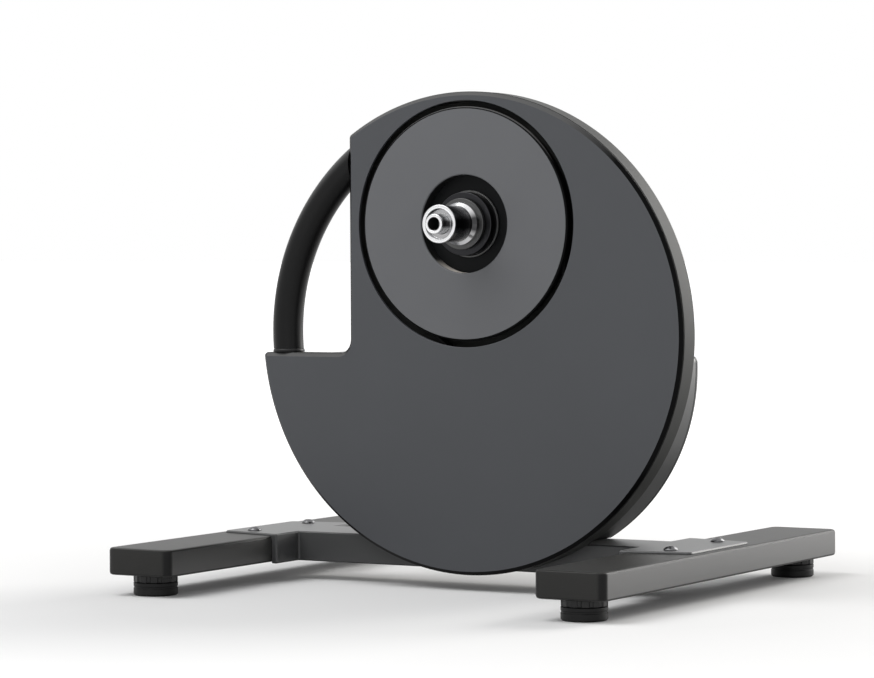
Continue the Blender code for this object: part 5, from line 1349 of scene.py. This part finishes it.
class TRAINER_OT_feet(bpy.types.Operator):
    """Make the four rubber pads and their notched levelling wheels"""

    bl_idname = "trainer.feet"
    bl_label = "Feet"

    def execute(self, context):
        base = settings().base
        for number, centre in numbered_places(base.foot_spacing):
            pad = self.pad(base, centre)
            add_piece(f"rubber_pad_{number}", pad, "rubber", f"pad_{number}", [f"foot_pad_{number}"])
            wheel = self.wheel(base, centre)
            nodes = [f"foot_wheel_{number}"]
            add_piece(f"levelling_wheel_{number}", wheel, "wheel", f"wheel_{number}", nodes)
        return {"FINISHED"}

    def pad(self, base, centre):
        """A pad with a chamfered foot, a shallow groove and a socket for the wheel's pivot."""
        socket = base.pivot_radius + FIT
        bottom = base.pad_height - base.pivot_length - FIT
        side = base.foot_radius
        groove = side - base.groove_depth
        chamfer = base.pad_chamfer
        upper, roof, sill, lower = [base.pad_height * share for share in PAD_GROOVE]
        corners = [
            (0.0, bottom, 0.0),
            (socket, bottom, 0.0),
            (socket, base.pad_height, 0.3 * MM),
            (side, base.pad_height, 0.8 * MM),
            (side, upper, 0.2 * MM),
            (groove, roof, 0.2 * MM),
            (groove, sill, 0.2 * MM),
            (side, lower, 0.2 * MM),
            (side, chamfer, 0.6 * MM),
            (side - chamfer, 0.0, 0.4 * MM),
            (0.0, 0.0, 0.0),
        ]
        return turned(corners, base.pad_steps, centre, upright=True, close=False)

    def wheel(self, base, centre):
        """A wheel with rounded notches, over its pivot and under its stud."""
        low = base.pad_height + FIT
        high = low + base.wheel_height
        root = base.foot_radius - base.notch_depth
        teeth = [(share, base.foot_radius) for share in TOOTH] + [(share, root) for share in NOTCH]
        shape = bmesh.new()
        corners = []
        for i in range(base.notches):
            for share, radius in teeth:
                angle = (i + share) * FULL_TURN / base.notches
                corners.append(((radius * math.cos(angle), radius * math.sin(angle), low), 0.0))
        rounded_wire(shape, corners, close=True)
        outline = bmesh.ops.contextual_create(shape, geom=shape.edges[:])["faces"]
        raised = bmesh.ops.extrude_face_region(shape, geom=outline, use_keep_orig=True)["geom"]
        lifted = only(bmesh.types.BMVert, raised)
        bmesh.ops.translate(shape, verts=lifted, vec=(0.0, 0.0, high - low))
        face_outwards(shape)
        round_edges(shape, shape.edges[:], base.wheel_edge, segments=2)
        stud = high - base.stud_root
        for radius, start, end in (
            (base.stud_radius, stud, stud + base.stud_length),
            (base.pivot_radius, low - base.pivot_length, low + FIT),
        ):
            middle = Matrix.Translation((0.0, 0.0, (start + end) / 2))
            bmesh.ops.create_cone(
                shape, cap_ends=True, segments=base.stud_steps, radius1=radius, radius2=radius,
                depth=end - start, matrix=middle,
            )
        shift(shape, centre)
        face_outwards(shape)
        return shape


class TRAINER_OT_drum(bpy.types.Operator):
    """Make the rear housing, its back plate and the plate's screws"""

    bl_idname = "trainer.drum"
    bl_label = "Rear housing"

    def execute(self, context):
        self.shell()
        self.plate()
        self.screws()
        return {"FINISHED"}

    def shell(self):
        """The housing's wall, open at both ends."""
        drum = settings().drum
        shape = bmesh.new()
        front, back = drum.front_y, drum.back_y
        places = [(0.0, front), (0.0, back), (drum.wall, back), (drum.wall, front)]
        loops = [drum_loop(shape, inset, y) for inset, y in places]
        bridge_chain(shape, loops + loops[:1])
        face_outwards(shape)
        round_edges(shape, loops[0] + loops[1], drum.edge)
        clean(shape)
        add_piece("drum_shell", shape, "beam", "base", ["rear_housing"])

    def plate(self):
        """A plate with a boss inside it for the shaft's bearing, and a hole for the socket."""
        drum = settings().drum
        shape = bmesh.new()
        front = drum_loop(shape, 0.0, drum.plate_front_y)
        back = drum_loop(shape, 0.0, drum.plate_back_y)
        bridge(shape, front, back)
        places = [
            (drum.boss, drum.plate_front_y),
            (drum.boss, drum.boss_front_y),
            (drum.seat, drum.boss_front_y),
            (drum.seat, drum.plate_front_y),
        ]
        x, z, steps = drum.shaft_x, drum.shaft_z, drum.boss_steps
        rings = [circle_loop(shape, x, y, z, radius, steps) for radius, y in places]
        bridge_chain(shape, rings)
        holes = [
            circle_loop(shape, drum.socket_x, y, drum.socket_z, drum.socket, drum.small_steps)
            for y in (drum.plate_front_y, drum.plate_back_y)
        ]
        bridge(shape, *holes)
        fill_between(shape, front, rings[0], holes[0])
        fill_between(shape, rings[-1])
        fill_between(shape, back, holes[1])
        face_outwards(shape)
        round_edges(shape, front + back, drum.edge)
        clean(shape)
        add_piece("drum_plate", shape, "beam", "base", ["rear_cover"])

    def screws(self):
        """The small dome screws that hold the back plate."""
        drum = settings().drum
        seat = drum.plate_back_y
        top = seat + drum.screw_height
        corners = [
            (0.0, seat + drum.screw_floor, 0.0),
            (drum.screw_recess, seat + drum.screw_floor, 0.0),
            (drum.screw_recess, top, 0.2 * MM),
            (drum.screw_radius, top - 0.3 * MM, 1.0 * MM),
            (drum.screw_radius, seat, 0.0),
            (0.0, seat, 0.0),
        ]
        circle = drum.radius - drum.screw_inset
        for number, degrees in enumerate(SCREW_ANGLES, start=1):
            angle = math.radians(degrees)
            x = drum.centre_x + circle * math.cos(angle)
            centre = (x, 0.0, drum.centre_z + circle * math.sin(angle))
            shape = turned(corners, drum.small_steps, centre, close=False)
            add_piece(f"plate_screw_{number}", shape, "bolt", "base")


# The nodes that keep their shapes, by finish.
KEPT_SHAPES = {
    "steel": [
        "axle_bearing_left", "axle_bearing_right", "case_bolt_1", "case_bolt_2", "case_bolt_3", "flywheel",
        "flywheel_shaft", "foot_bush_1", "foot_bush_2", "foot_bush_3", "foot_bush_4", "frame_bearing_left",
        "frame_bearing_right", "freehub_bearing", "idler_bolt", "shaft_bearing_far", "shaft_bearing_near",
    ],
    "aluminium": ["freehub_body", "idler_arm", "small_pulley"],
    "pulley": ["drive_pulley"],
    "plastic": ["handle_plug_upper", "idler_pulley", "power_socket", "speed_sensor"],
    "belt": ["drive_belt"],
    "winding": ["brake_stator"],
    "board": ["circuit_board"],
    "lens": ["status_lens"],
}


class TRAINER_OT_inner_parts(bpy.types.Operator):
    """Give the inner parts, which keep their shapes, their finishes"""

    bl_idname = "trainer.inner_parts"
    bl_label = "Inner parts"

    def execute(self, context):
        for finish_name, nodes in KEPT_SHAPES.items():
            for node in nodes:
                for slot in NODES[node].material_slots:
                    slot.material = finish(finish_name)
        return {"FINISHED"}


class TrainerSettings(bpy.types.PropertyGroup):
    """All of the trainer's sizes and colours."""

    casing: PointerProperty(type=TrainerCasing)
    hub: PointerProperty(type=TrainerHub)
    handle: PointerProperty(type=TrainerHandle)
    base: PointerProperty(type=TrainerBase)
    drum: PointerProperty(type=TrainerDrum)
    colours: PointerProperty(type=TrainerColours)
    studio: PointerProperty(type=TrainerStudio)


STEPS = [
    TRAINER_OT_camera, TRAINER_OT_stage, TRAINER_OT_cover, TRAINER_OT_casting, TRAINER_OT_disc,
    TRAINER_OT_hub, TRAINER_OT_handle, TRAINER_OT_base, TRAINER_OT_bolts, TRAINER_OT_feet,
    TRAINER_OT_drum, TRAINER_OT_inner_parts,
]


class TRAINER_PT_panel(bpy.types.Panel):
    """Lists the trainer's pieces in the order they are made"""

    bl_label = "Trainer"
    bl_idname = "TRAINER_PT_panel"
    bl_space_type = "VIEW_3D"
    bl_region_type = "UI"
    bl_category = "Trainer"

    def draw(self, context):
        for step in STEPS:
            self.layout.operator(step.bl_idname)


CLASSES = [
    TrainerCasing, TrainerHub, TrainerHandle, TrainerBase, TrainerDrum, TrainerColours, TrainerStudio,
    TrainerSettings, *STEPS, TRAINER_PT_panel,
]


def register():
    """Registers the classes and puts the settings on the scene."""
    for item in CLASSES:
        bpy.utils.register_class(item)
    bpy.types.Scene.trainer = PointerProperty(type=TrainerSettings)


def unregister():
    """Takes the settings and the classes away again."""
    del bpy.types.Scene.trainer
    for item in reversed(CLASSES):
        bpy.utils.unregister_class(item)


def main():
    """Makes the trainer and its stage."""
    register()
    for step in STEPS:
        group, name = step.bl_idname.split(".")
        getattr(getattr(bpy.ops, group), name)()


if __name__ == "__main__":
    main()
